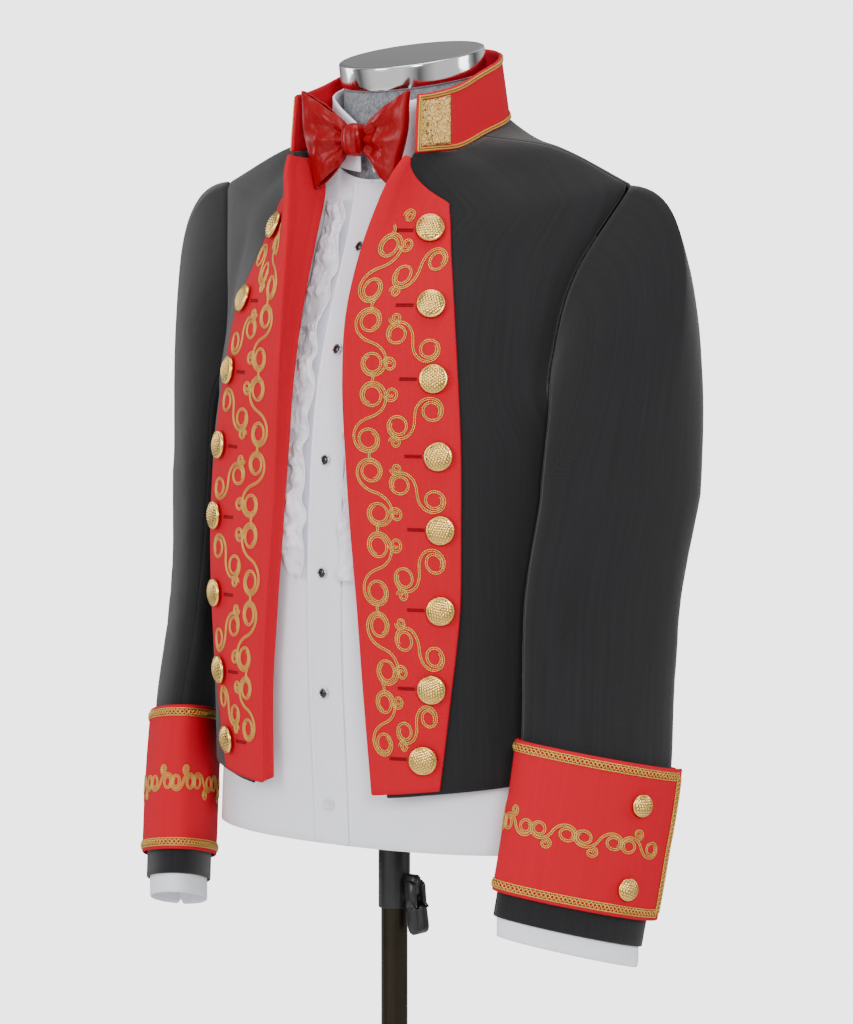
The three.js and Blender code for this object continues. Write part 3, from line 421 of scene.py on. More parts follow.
def wall(
    middle: Array, normals: Array, thickness: float | Array, closed: bool = False, rim: float = 0.42,
    lift: float = 0.0,
) -> Shape:
    """A cloth wall: a grid moved out and in by half its thickness, with a rounded rim between.

    Args:
        middle: rows x columns x 3, the grid that the wall follows.
        normals: the grid's unit normals.
        thickness: the cloth's thickness.
        closed: whether it is a tube whose last column meets the first.
        rim: how far the rim bulges, as a share of the thickness.
        lift: how far the wall's middle stands off the grid.

    Returns:
        A closed shape.
    """
    rows, width = middle.shape[:2]
    middle = middle + normals * lift
    half = np.broadcast_to(np.asarray(thickness, float), (rows, width))[..., None] / 2
    outer, inner = middle + normals * half, middle - normals * half
    ids = np.arange(rows * width).reshape(rows, width)
    first, last = ids[0], ids[-1][::-1]
    if closed:
        loops = [(first, ids[1]), (last, ids[-2][::-1])]
    else:
        around = np.concatenate([ids[0, :-1], ids[:-1, -1], ids[-1, :0:-1], ids[:0:-1, 0]])
        kept = (np.clip(np.arange(count), 1, count - 2) for count in (rows, width))
        near = ids[np.ix_(*kept)]
        back = np.concatenate([near[0, :-1], near[:-1, -1], near[-1, :0:-1], near[:0:-1, 0]])
        loops = [(around, back)]
    places = cloth_places(middle, closed).reshape(-1, 2)
    table = width + 1 if closed else width
    quads, corners = grid_ids(rows, width, closed)
    total = rows * width
    faces, uv = [quads, quads[:, ::-1] + total], [places[corners], places[corners[:, ::-1]]]
    points = [outer.reshape(-1, 3), inner.reshape(-1, 3)]
    start = 2 * total
    flat = middle.reshape(-1, 3)
    thick = np.broadcast_to(half, (rows, width, 1)).reshape(-1, 1) * 2
    for loop, neighbour in loops:
        points.append(flat[loop] + unit(flat[loop] - flat[neighbour]) * thick[loop] * rim)
        here, there = np.arange(len(loop)), np.roll(np.arange(len(loop)), -1)
        a, b = loop[here], loop[there]
        edge = np.stack([start + here, start + there], axis=1)
        spot = (loop // width) * table + loop % width
        pair = places[np.stack([spot[there], spot[here], spot[here], spot[there]], axis=1)]
        faces += [np.stack([b, a, edge[:, 0], edge[:, 1]], axis=1)]
        faces += [np.stack([edge[:, 1], edge[:, 0], a + total, b + total], axis=1)]
        uv += [pair, pair]
        start += len(loop)
    return Shape(np.concatenate(points), np.concatenate(faces), np.concatenate(uv)).outward()


def swept(path: Array, up: Array, section: Array, looped: bool = False, taper: float = 0.0) -> Shape:
    """A profile carried along a path: each ring is path + side * x + up * y, with side = along x up.

    Args:
        path: n x 3 points.
        up: n x 3 directions that the section's y follows.
        section: m x 2 points of the closed profile, in millimetres.
        looped: whether the path closes on itself.
        taper: over how many of the path's first and last points the profile thins to a tip.

    Returns:
        A closed shape whose v runs along the path and u round the profile, in metres.
    """
    if looped:
        along = unit(np.roll(path, -1, axis=0) - np.roll(path, 1, axis=0))
    else:
        along = unit(np.gradient(path, axis=0))
    side = unit(np.cross(along, up))
    up = unit(np.cross(side, along))
    count, width = len(path), len(section)
    thin = np.ones(count)
    if taper:
        reach = np.minimum(np.arange(count), np.arange(count)[::-1])
        thin = np.sqrt(np.clip((reach + 0.35) / taper, 0, 1))
    ring = section[None] * thin[:, None, None]
    grid = path[:, None] + side[:, None] * ring[..., :1] + up[:, None] * ring[..., 1:]
    round_u = np.append(0, np.cumsum(np.linalg.norm(np.roll(section, -1, axis=0) - section, axis=1)))
    steps = np.linalg.norm(np.diff(path, axis=0, append=path[:1] if looped else path[-1:]), axis=1)
    long_v = np.append(0, np.cumsum(steps))
    if looped:
        shell = np.concatenate([grid, grid[:1]])
        quads, corners = grid_ids(count + 1, width, True)
        quads = quads % (count * width)
        places = np.stack(mesh_grid(long_v, round_u)[::-1], axis=-1).reshape(-1, 2) * MM
        return Shape(shell[:-1].reshape(-1, 3), quads, places[corners]).outward()
    quads, corners = grid_ids(count, width, True)
    places = np.stack(mesh_grid(long_v[:count], round_u)[::-1], axis=-1).reshape(-1, 2) * MM
    points = np.concatenate([grid.reshape(-1, 3), path[[0, -1]]])
    j = np.arange(width)
    tip = np.full(width, count * width)
    last = (count - 1) * width
    caps = np.concatenate([
        np.stack([tip, (j + 1) % width, j], axis=1),
        np.stack([tip + 1, last + j, last + (j + 1) % width], axis=1),
    ])
    cap_uv = np.repeat(places[np.r_[j, last // width * (width + 1) + j]][:, None], 3, axis=1)
    return Shape(points, quads, places[corners], caps, cap_uv).outward()


def round_section(width: float, height: float, count: int = 8, base: float = 0.0) -> Array:
    """An oval profile, count points round (cos, sin) scaled to half the width and height, raised by base."""
    a = np.arange(count) * TURN / count
    return np.stack([np.cos(a) * width / 2, np.sin(a) * height / 2 + base], axis=1)


def ring_solid(rings: Array) -> Shape:
    """A closed body through rings of equal length, its ends closed by fans to their centres."""
    rows, width = rings.shape[:2]
    quads, corners = grid_ids(rows, width, True)
    places = cloth_places(rings, True).reshape(-1, 2)
    points = np.concatenate([rings.reshape(-1, 3), rings[[0, -1]].mean(axis=1)])
    j = np.arange(width)
    tip = np.full(width, rows * width)
    last = (rows - 1) * width
    ends = np.concatenate([
        np.stack([tip, (j + 1) % width, j], axis=1),
        np.stack([tip + 1, last + j, last + (j + 1) % width], axis=1),
    ])
    return Shape(points, quads, places[corners], ends, points[ends][..., :2] * MM).outward()


def revolved(profile: Sequence[tuple[float, float]], sides: int) -> Shape:
    """A profile of (radius, height) turned round +Z, its ends closed by fans."""
    a = np.arange(sides) * TURN / sides
    rh = np.array(profile, float)
    rings = np.stack([rh[:, :1] * np.cos(a), rh[:, :1] * np.sin(a), rh[:, 1:] + 0 * a], axis=-1)
    return ring_solid(rings)


def rounded_profile(
    corners: Sequence[tuple[float, float]], radius: float, steps: int = 4
) -> list[tuple[float, float]]:
    """A profile with each inner corner swapped for a curve.

    The curve is the quadratic one from radius before the corner to radius after it, drawn towards the corner.

    Args:
        corners: (radius, height) of each corner.
        radius: how far from the corner the curve starts, at most half of each neighbouring stretch.
        steps: points on each curve, less one.

    Returns:
        The finer profile.
    """
    p = np.array(corners, float)
    out = [p[0]]
    for before, corner, after in zip(p[:-2], p[1:-1], p[2:]):
        reach_in = min(radius, np.linalg.norm(before - corner) / 2)
        reach_out = min(radius, np.linalg.norm(after - corner) / 2)
        a = corner + unit(before - corner) * reach_in
        b = corner + unit(after - corner) * reach_out
        s = np.linspace(0, 1, steps + 1)[:, None]
        out.extend((1 - s) ** 2 * a + 2 * s * (1 - s) * corner + s**2 * b)
    out.append(p[-1])
    return [tuple(point) for point in out]


def seated(shape: Shape, point: Array, normal: Array, spin: float = 0.0) -> Shape:
    """A shape made round +Z, moved to a point with +Z along a normal.

    Args:
        shape: the shape about the origin.
        point: where its origin goes.
        normal: where its +Z goes.
        spin: turn about its own axis, in radians.

    Returns:
        The moved shape.
    """
    up = unit(np.asarray(normal, float))
    side = unit(np.cross([0.0, 0.0, 1.0], up) if abs(up[2]) < 0.95 else np.cross([0.0, 1.0, 0.0], up))
    other = np.cross(up, side)
    c, s = math.cos(spin), math.sin(spin)
    axes = np.stack([side * c + other * s, other * c - side * s, up])
    return shape.moved(lambda points: points @ axes + point)


# ---- the tailor's lines --------------------------------------------------------------------

# The dress form in rings from the hip to the neck: heights at the front, side and back, half width, depths,
# roundness (2 is an ellipse) and the shirt's armhole in degrees from the centre front.
FORM_RINGS = columns(
    "zFront zSide zBack half yFront yMid yBack round armFront armBack",
    (857, 857, 857, 180, -79, 21, 118, 2.2, 90, 90),
    (925, 925, 925, 174, -83, 21, 115, 2.2, 90, 90),
    (1000, 1000, 1000, 164, -88, 20, 110, 2.2, 90, 90),
    (1060, 1060, 1060, 160, -89, 20, 112, 2.2, 90, 90),
    (1120, 1120, 1120, 161, -88, 20, 119, 2.2, 90, 90),
    (1180, 1180, 1180, 164, -84, 21, 125, 2.2, 90, 90),
    (1240, 1235, 1240, 158, -75, 23, 127, 2.2, 80, 97),
    (1290, 1290, 1295, 157, -61, 27, 124, 2.2, 73, 106),
    (1330, 1345, 1345, 168, -46, 33, 116, 2.1, 76, 104),
    (1354, 1384, 1382, 178, -37, 39, 108, 2.0, 90, 90),
    (1380, 1411, 1411, 132, -30, 38, 101, 2.0, 90, 90),
    (1404, 1429, 1435, 70, -27, 33, 94, 2.0, 90, 90),
    (1434, 1447, 1458, 60, -31, 29, 89, 2.0, 90, 90),
    (1476, 1488, 1500, 58, -32, 28, 88, 2.0, 90, 90),
)

# The jacket from the hem to the neckline. Each guide is a tailor's line: the fold of the turned-back front, the
# button line, the chest dart, the side seam with the armhole, the shoulder blade, the centre back and the
# inner edge of the facing.
COAT_LEVELS = columns(
    "fold button dart seam rear blade spine facing",
    (
        (60, -103, 903), (97, -91, 907), (151, -53, 914), (184, 21, 922),
        (184, 21, 922), (138, 97, 922), (0, 124, 922), (56, -92, 906),
    ),
    (
        (55.5, -108, 985), (109, -91, 988), (152, -52, 990), (175, 20, 993),
        (175, 20, 993), (131, 94, 993), (0, 121, 993), (52, -97, 986),
    ),
    (
        (50, -109.5, 1058), (117, -88, 1058), (152, -53, 1058), (171, 20, 1058),
        (171, 20, 1058), (128, 96, 1058), (0, 124, 1058), (46, -98.5, 1058),
    ),
    (
        (43.5, -110, 1124), (117, -88, 1124), (153, -52, 1122), (172, 21, 1118),
        (172, 21, 1118), (129, 101, 1120), (0, 131, 1120), (40, -98.5, 1124),
    ),
    (
        (39, -110.5, 1183), (113, -86, 1185), (155, -46, 1190), (176, 23, 1196),
        (176, 23, 1196), (132, 106, 1190), (0, 137, 1190), (35, -98, 1183),
    ),
    (
        (36, -110.5, 1240), (106, -83, 1242), (152, -42, 1236), (168, -9, 1224),
        (171, 60, 1230), (134, 107, 1240), (0, 139, 1245), (31, -95, 1240),
    ),
    (
        (36, -106, 1295), (98, -76, 1297), (145, -38, 1290), (167, -3, 1268),
        (174, 79, 1288), (134, 105, 1295), (0, 137, 1300), (31, -84, 1295),
    ),
    (
        (41, -94, 1345), (84, -60, 1345), (138, -28, 1345), (181, 7, 1330),
        (190, 73, 1348), (136, 99, 1347), (0, 132, 1350), (34, -66, 1345),
    ),
    (
        (50, -80, 1388), (76, -49, 1378), (135, -18, 1380), (211, 40, 1400),
        (211, 40, 1400), (140, 86, 1394), (0, 124, 1395), (40, -43, 1390),
    ),
    (
        (57, -72, 1409), (71, -45, 1406), (110, -4, 1410), (142, 36, 1430),
        (142, 36, 1430), (104, 81, 1426), (0, 116, 1432), (46, -38, 1409),
    ),
    (
        (62.6, -60, 1426), (68, -38, 1427), (73, -8, 1429), (75, 24, 1440),
        (75, 24, 1440), (56, 84, 1455), (0, 109.5, 1462), (53, -36, 1423),
    ),
)

# How the sleeve leaves the armhole, round from the shoulder point by the front, the underarm and the back.
SLEEVE_HEAD = columns(
    "dx dy dz",
    (262, 12, -12),
    (74, -62, -30),
    (25, -4, -40),
    (140, 72, -5),
)

# The sleeve below the armhole: centre, half sizes of its flat oval, and how far it dips to the back.
SLEEVE_RINGS = columns(
    "z x y along outward inward dip",
    (1150, 214, 23, 67, 37, 16, 0),
    (1076, 209, 9, 65, 32, 20, 3),
    (1010, 211, 0, 64, 30, 21, 7),
    (942, 216, -11, 63, 28, 23, 13),
    (880, 213, -23, 62.5, 28, 24, 13.5),
    (801, 206, -36, 62, 28, 24, 14),
)

# The stand collar from its front end to the centre back.
COLLAR_STATIONS = columns(
    "seam top",
    ((64.5, -54, 1427.1), (63.5, -50, 1473)),
    ((69, -36, 1428.2), (67, -33, 1475)),
    ((73.2, -8, 1430.5), (71, -6, 1481)),
    ((75, 24, 1441.1), (69.5, 26, 1492)),
    ((71, 58, 1450), (64.5, 56, 1501)),
    ((55, 85, 1456.6), (50, 80, 1508)),
    ((29, 103.5, 1462), (27, 97.5, 1511.5)),
    ((0, 109.5, 1463.6), (0, 104, 1513)),
)

# The shirt's collar, the same way.
SHIRT_COLLAR_STATIONS = columns(
    "seam top",
    ((7, -36, 1411), (5, -39.6, 1448)),
    ((36, -26.5, 1415.5), (34, -32, 1466)),
    ((61, -2, 1426), (58.5, -4, 1475)),
    ((71, 32, 1433), (62.5, 32, 1483)),
    ((61, 72, 1441), (52.5, 68, 1491)),
    ((34, 94, 1447), (31, 90.5, 1496)),
    ((0, 101.5, 1449.5), (0, 96.5, 1498)),
)

UNDERARM = 4  # level of the lowest point of the armhole
SHOULDER = 8  # level of the shoulder point
NECK = 10
ARM_CORNERS = (UNDERARM, SHOULDER)
FACING_FREE_EDGE = 0.425  # across the front, just past the buttons
FACING_SLANT = 6  # level above which the facing's rows rise to its slanted top edge
SEAM_GAP = 0.3
FACING_CLOTH = 1.8
FACING_LIFT = 2 * SEAM_GAP + 0.2 + FACING_CLOTH / 2
SHIRT_TOP = 11  # ring of the form where the shirt ends and its collar starts
SHIRT_OUTER = 3.5  # from the form to the shirt's outer face
SLEEVE_FLAT = np.array([0.574, 0.819, 0.0])  # long way of the sleeve's oval, to the back
SLEEVE_ACROSS = np.array([0.819, -0.574, 0.0])  # short way, outwards
SLEEVE_TWIST = math.radians(70)  # from the oval's back end to the shoulder line
SLEEVE_CLOTH = 2.0
LAPEL_BUTTON_HEIGHTS = (937, 995, 1059, 1124, 1183, 1245, 1304, 1364)
BUTTON_PITCH = 62.0  # usual distance between two buttons, which the scrolls are drawn for
SCROLL_BEND = 1.4  # power by which a scroll's direction turns towards its ends
SCROLL_POINTS = 181
HOLLOW_CHEST = 1350  # above this the front curves in, and a button stands higher


class Jacket:
    """The jacket's surfaces, wearer's left side, and the places on them."""

    @staticmethod
    def line(name: str, t: Array, corners: Sequence[int] = ()) -> Array:
        """The tailor's line of this name at a level, the smooth curve through its points."""
        return smooth(COAT_LEVELS[name], t, corners)

    @classmethod
    def front(cls, across: Array, t: Array) -> Array:
        """The front: a smooth curve over the five lines at each level, 0 at the fold to 1 at the side seam."""
        across, t = np.broadcast_arrays(np.asarray(across, float), np.asarray(t, float))
        guides = [cls.line("fold", t), cls.line("button", t), cls.line("dart", t)]
        guides += [cls.line("seam", t, ARM_CORNERS), cls.line("blade", t)]
        return smooth(np.stack(guides), across * 3)

    @classmethod
    def back(cls, across: Array, t: Array) -> Array:
        """The back: a smooth curve over blade, spine, blade, seam and dart, -1 to 1 between the side seams."""
        across, t = np.broadcast_arrays(np.asarray(across, float), np.asarray(t, float))
        blade = cls.line("blade", t)
        guides = [Side.RIGHT.place(blade), cls.line("spine", t), blade]
        guides += [cls.line("rear", t, ARM_CORNERS), cls.line("dart", t)]
        points = smooth(np.stack(guides), 1 + 2 * np.abs(across))
        return np.where(across[..., None] < 0, Side.RIGHT.place(points), points)

    @staticmethod
    def outside(points: Array) -> Array:
        """A vector away from the body's axis, leaning up over the shoulders."""
        rise = np.maximum(0, points[..., 2] - 1330) * 0.8
        return np.stack([points[..., 0], points[..., 1] - 20, rise], axis=-1)

    @classmethod
    def lifted_front(cls, across: Array, t: Array, height: float) -> Array:
        """The front moved out along its normal."""
        points = cls.front(across, t)
        return points + surface_normal(cls.front, across, t, cls.outside(points)) * height

    @classmethod
    def facing_rows(cls, rows: Array) -> Array:
        """The turned-back front's ten guide points in each row.

        Four lie over the chest, one on the shoulder of the fold, one on its crest, and four run back inside to
        the edge beside the shirt.

        Args:
            rows: levels; above the slant they are spread towards the slanted top edge.

        Returns:
            rows x 10 x 3 points.
        """
        rows = np.asarray(rows, float)

        def at(across: float) -> Array:
            """The level of a row at a place across."""
            top = mixed(NECK - 0.2, SHOULDER + 0.25, across / FACING_FREE_EDGE)
            share = (top - FACING_SLANT) / (NECK - FACING_SLANT)
            slanted = FACING_SLANT + (rows - FACING_SLANT) * share
            return np.where(rows < FACING_SLANT, np.maximum(rows, 0.04), slanted)

        places = (FACING_FREE_EDGE, 0.32, 0.21, 0.11)
        over = [cls.lifted_front(np.full_like(rows, a), at(a), FACING_LIFT) for a in places]
        t = at(0)
        fold, edge = cls.line("fold", t), cls.line("facing", t)
        out = unit(over[3] - over[1])
        crest = fold + out * 1.6
        shoulder = cls.lifted_front(np.full_like(rows, 0.03), t, FACING_LIFT)
        back = mixed(fold, edge, 0.3) + out * 0.6
        turn = edge + np.array([7.0, 1.0, 0.0])
        return np.stack([*over, shoulder, crest, back, mixed(edge, fold, 0.25), edge, turn], axis=1)

    @classmethod
    def button_seat(cls, height: float) -> tuple[Array, Array]:
        """Where a button sits on the turned-back front at a height, and the way it faces."""
        across = np.array(1 / 3)
        low, high = 0.0, float(SHOULDER)
        for _ in range(30):
            t = (low + high) / 2
            if cls.front(across, np.array(t))[2] < height:
                low = t
            else:
                high = t
        point = cls.front(across, np.array(low))
        normal = surface_normal(cls.front, across, np.array(low), cls.outside(point))
        lift = FACING_LIFT + FACING_CLOTH / 2 + (1.6 if height > HOLLOW_CHEST else 0.7)
        return point + normal * lift, normal


def centripetal(points: Array, at: Array) -> Array:
    """A centripetal Catmull-Rom curve through each row of points.

    Each stretch is the cubic whose end slopes weigh the chords before and after by the square roots of their
    lengths.

    Args:
        points: rows x count x 3.
        at: places from 0 to 1, for all the rows.

    Returns:
        rows x places x 3.
    """
    count = points.shape[1]
    first = 2 * points[:, :1] - points[:, 1:2]
    last = 2 * points[:, -1:] - points[:, -2:-1]
    p = np.concatenate([first, points, last], axis=1)
    place = np.asarray(at, float) * (count - 1)
    i = np.clip(np.floor(place).astype(int), 0, count - 2)
    w = (place - i)[None, :, None]
    a, b, c, d = (p[:, i + k] for k in range(4))
    chords = (b - a, c - b, d - c)
    gap = [np.maximum(np.linalg.norm(chord, axis=-1, keepdims=True) ** 0.5, 1e-4) for chord in chords]
    t1 = ((b - a) / gap[0] - (c - a) / (gap[0] + gap[1]) + (c - b) / gap[1]) * gap[1]
    t2 = ((c - b) / gap[1] - (d - b) / (gap[1] + gap[2]) + (d - c) / gap[2]) * gap[1]
    w2, w3 = w**2, w**3
    return b * (2 * w3 - 3 * w2 + 1) + t1 * (w3 - 2 * w2 + w) + c * (3 * w2 - 2 * w3) + t2 * (w3 - w2)


class Arm:
    """The sleeve's surfaces, wearer's left side."""

    @staticmethod
    def armhole(turn: Array) -> tuple[Array, Array]:
        """The armhole's points and normals, from the shoulder point round by the front, turn 0 to 1."""
        front = turn <= 0.5
        t = np.where(front, mixed(SHOULDER, UNDERARM, turn * 2), mixed(UNDERARM, SHOULDER, turn * 2 - 1))
        seam, rear = Jacket.line("seam", t, ARM_CORNERS), Jacket.line("rear", t, ARM_CORNERS)
        point = np.where(front[..., None], seam, rear)
        away = Jacket.outside(point)
        ones = np.ones_like(turn)
        on_front = surface_normal(Jacket.front, ones, t, away)
        on_back = surface_normal(Jacket.back, ones, t, away)
        own = np.where(front[..., None], on_front, on_back)
        even = np.abs(np.sin(math.pi * 2 * np.abs(turn - 0.5)))[..., None]
        return point, unit(own * even + (on_front + on_back) * 0.5 * (1 - even))

    @staticmethod
    def ring(z: Array) -> dict[str, Array]:
        """The sleeve's oval at a height, smooth between the table's rings."""
        heights = SLEEVE_RINGS["z"]
        at = np.interp(-np.asarray(z, float), -heights, np.arange(len(heights)))
        found = {key: smooth(values, at) for key, values in SLEEVE_RINGS.items()}
        found["z"] = np.asarray(z, float)
        return found

    @staticmethod
    def oval(ring: dict[str, Array], turn: Array, grow: Array | float = 0.0) -> Array:
        """A point of the flat oval: its centre + long axis cos + short axis sin, dipping to the back.

        Args:
            ring: the oval's sizes.
            turn: 0 to 1 round it from the shoulder line.
            grow: how far outside the oval.

        Returns:
            Points.
        """
        angle = np.asarray(turn, float) * TURN + SLEEVE_TWIST
        cos, sin = np.cos(angle)[..., None], np.sin(angle)[..., None]
        size = {key: np.asarray(value, float)[..., None] for key, value in ring.items()}
        grow = np.asarray(grow, float)[..., None]
        across = np.where(sin > 0, size["outward"], size["inward"]) + grow
        drop = np.tan(np.radians(size["dip"])) * size["along"] * cos
        centre = np.concatenate(np.broadcast_arrays(size["x"], size["y"], size["z"] - drop), axis=-1)
        return centre + SLEEVE_FLAT * (size["along"] + grow) * cos + SLEEVE_ACROSS * across * sin

    @classmethod
    def head(cls, turn: Array, drop: Array) -> Array:
        """The sleeve's head: the cubic from the armhole to the first ring.

        It leaves the armhole along the table's directions and arrives pointing down.

        Args:
            turn: 0 to 1 round the armhole.
            drop: 0 at the armhole to 1 at the first ring.

        Returns:
            Points.
        """
        turn = turn - np.floor(turn)
        point, normal = cls.armhole(turn)
        start = point + normal * (SEAM_GAP + 0.3 + SLEEVE_CLOTH / 2)
        first = {key: values[0] for key, values in SLEEVE_RINGS.items()}
        end = cls.oval(first, turn)
        rows = np.stack([SLEEVE_HEAD[key] for key in ("dx", "dy", "dz")], axis=1)
        leave = smooth(np.concatenate([rows[3:], rows, rows[:2]]), 1 + turn * 4)
        fall = np.maximum(start[..., 2] - end[..., 2], 20)[..., None]
        arrive = np.array([0, -0.12, -1.0]) * fall * 1.1
        d = np.asarray(drop, float)[..., None]
        d2, d3 = d**2, d**3
        fixed = start * (2 * d3 - 3 * d2 + 1) + leave * (d3 - 2 * d2 + d)
        return fixed + end * (3 * d2 - 2 * d3) + arrive * (d3 - d2)

    @classmethod
    def surface(cls, turn: Array, depth: Array) -> Array:
        """The whole sleeve: depth 0 to 1 is the head, and 1 to 2 the ovals down to the wrist."""
        turn = turn - np.floor(turn)
        bottom = SLEEVE_RINGS["z"][-1]
        z = mixed(SLEEVE_RINGS["z"][0], bottom, np.clip(depth - 1, 0, 1))
        tube = cls.oval(cls.ring(z), turn)
        return np.where((depth <= 1)[..., None], cls.head(turn, np.clip(depth, 0, 1)), tube)

    @staticmethod
    def outside(points: Array) -> Array:
        """A vector away from the arm's axis."""
        high = points[..., 2] > 1150
        ring = Arm.ring(np.clip(points[..., 2], 801, 1150))
        x = points[..., 0] - np.where(high, 195, ring["x"])
        y = points[..., 1] - np.where(high, 35, ring["y"])
        return np.stack([x, y, np.maximum(0, points[..., 2] - 1290)], axis=-1)


class Form:
    """The dress form's surface and the shirt that lies just off it."""

    @staticmethod
    def point(angle: Array, t: Array) -> Array:
        """The form at an angle from the centre front, ring t: a rounded oval whose height eases to the side."""
        ring = {key: smooth(values, t) for key, values in FORM_RINGS.items()}
        sin, cos = np.sin(angle), np.cos(angle)
        power = 2 / ring["round"]
        front = cos > 0
        depth = np.where(front, ring["yFront"], ring["yBack"]) - ring["yMid"]
        end = np.where(front, ring["zFront"], ring["zBack"])
        x = ring["half"] * np.sign(sin) * np.abs(sin) ** power
        y = ring["yMid"] + depth * np.abs(cos) ** power
        return np.stack([x, y, mixed(end, ring["zSide"], sin**2)], axis=-1)

    @classmethod
    def on_shirt(cls, x: Array, z: Array, height: Array | float) -> tuple[Array, Array]:
        """The shirt's front at a width and a height.

        The ring is found by halving, and the angle from sin = (x / half) ** (round / 2).

        Args:
            x: width from the centre front.
            z: height.
            height: how far off the shirt's outer face.

        Returns:
            Points and normals.
        """
        x, z = np.broadcast_arrays(np.asarray(x, float), np.asarray(z, float))

        def at(width: Array, t: Array) -> Array:
            """The form's point at a width, ring t."""
            half, rounding = smooth(FORM_RINGS["half"], t), smooth(FORM_RINGS["round"], t)
            angle = np.arcsin(np.clip((np.abs(width) / half) ** (rounding / 2), 0, 1))
            return cls.point(np.sign(width) * angle, t)

        low, high = np.zeros_like(x), np.full_like(x, SHIRT_TOP + 1.0)
        for _ in range(32):
            middle = (low + high) / 2
            below = at(x, middle)[..., 2] < z
            low, high = np.where(below, middle, low), np.where(below, high, middle)
        along = at(x, low + 0.02) - at(x, low - 0.02)
        normal = unit(np.cross(at(x + 2, low) - at(x - 2, low), along))
        normal = np.where(normal[..., 1:2] > 0, -normal, normal)
        lift = (SHIRT_OUTER + np.broadcast_to(np.asarray(height, float), x.shape))[..., None]
        return at(x, low) + normal * lift, normal


# ---- shader expressions --------------------------------------------------------------------
class Value:
    """A number that varies over a surface; Python's operators on it add Math nodes."""

    def __init__(self, graph: Graph, socket: bpy.types.NodeSocket) -> None:
        """Wraps a socket.

        Args:
            graph: the material's graph.
            socket: the output that holds the number.
        """
        self.graph = graph
        self.socket = socket

    def math(self, operation: str, *others: Value | float, swap: bool = False) -> Value:
        """One Math node on this value and others, the other first if swap is set."""
        inputs = [self, *others][::-1] if swap else [self, *others]
        return self.graph.node("ShaderNodeMath", {"operation": operation}, dict(enumerate(inputs)))

    def __add__(self, other: Value | float) -> Value:
        """Sum."""
        return self.math("ADD", other)

    __radd__ = __add__

    def __sub__(self, other: Value | float) -> Value:
        """Difference."""
        return self.math("SUBTRACT", other)

    def __rsub__(self, other: float) -> Value:
        """Difference from a number."""
        return self.math("SUBTRACT", other, swap=True)

    def __mul__(self, other: Value | float) -> Value:
        """Product."""
        return self.math("MULTIPLY", other)

    __rmul__ = __mul__

    def __truediv__(self, other: Value | float) -> Value:
        """Quotient."""
        return self.math("DIVIDE", other)

    def __pow__(self, other: float) -> Value:
        """Power."""
        return self.math("POWER", other)

    def sine(self) -> Value:
        """Sine, in radians."""
        return self.math("SINE")

    def clamped(self, low: float = 0.0, high: float = 1.0) -> Value:
        """The value held between two limits."""
        return self.math("MAXIMUM", low).math("MINIMUM", high)

    def wave(self) -> Value:
        """(1 + sin) / 2 of the value."""
        return self.sine() * 0.5 + 0.5


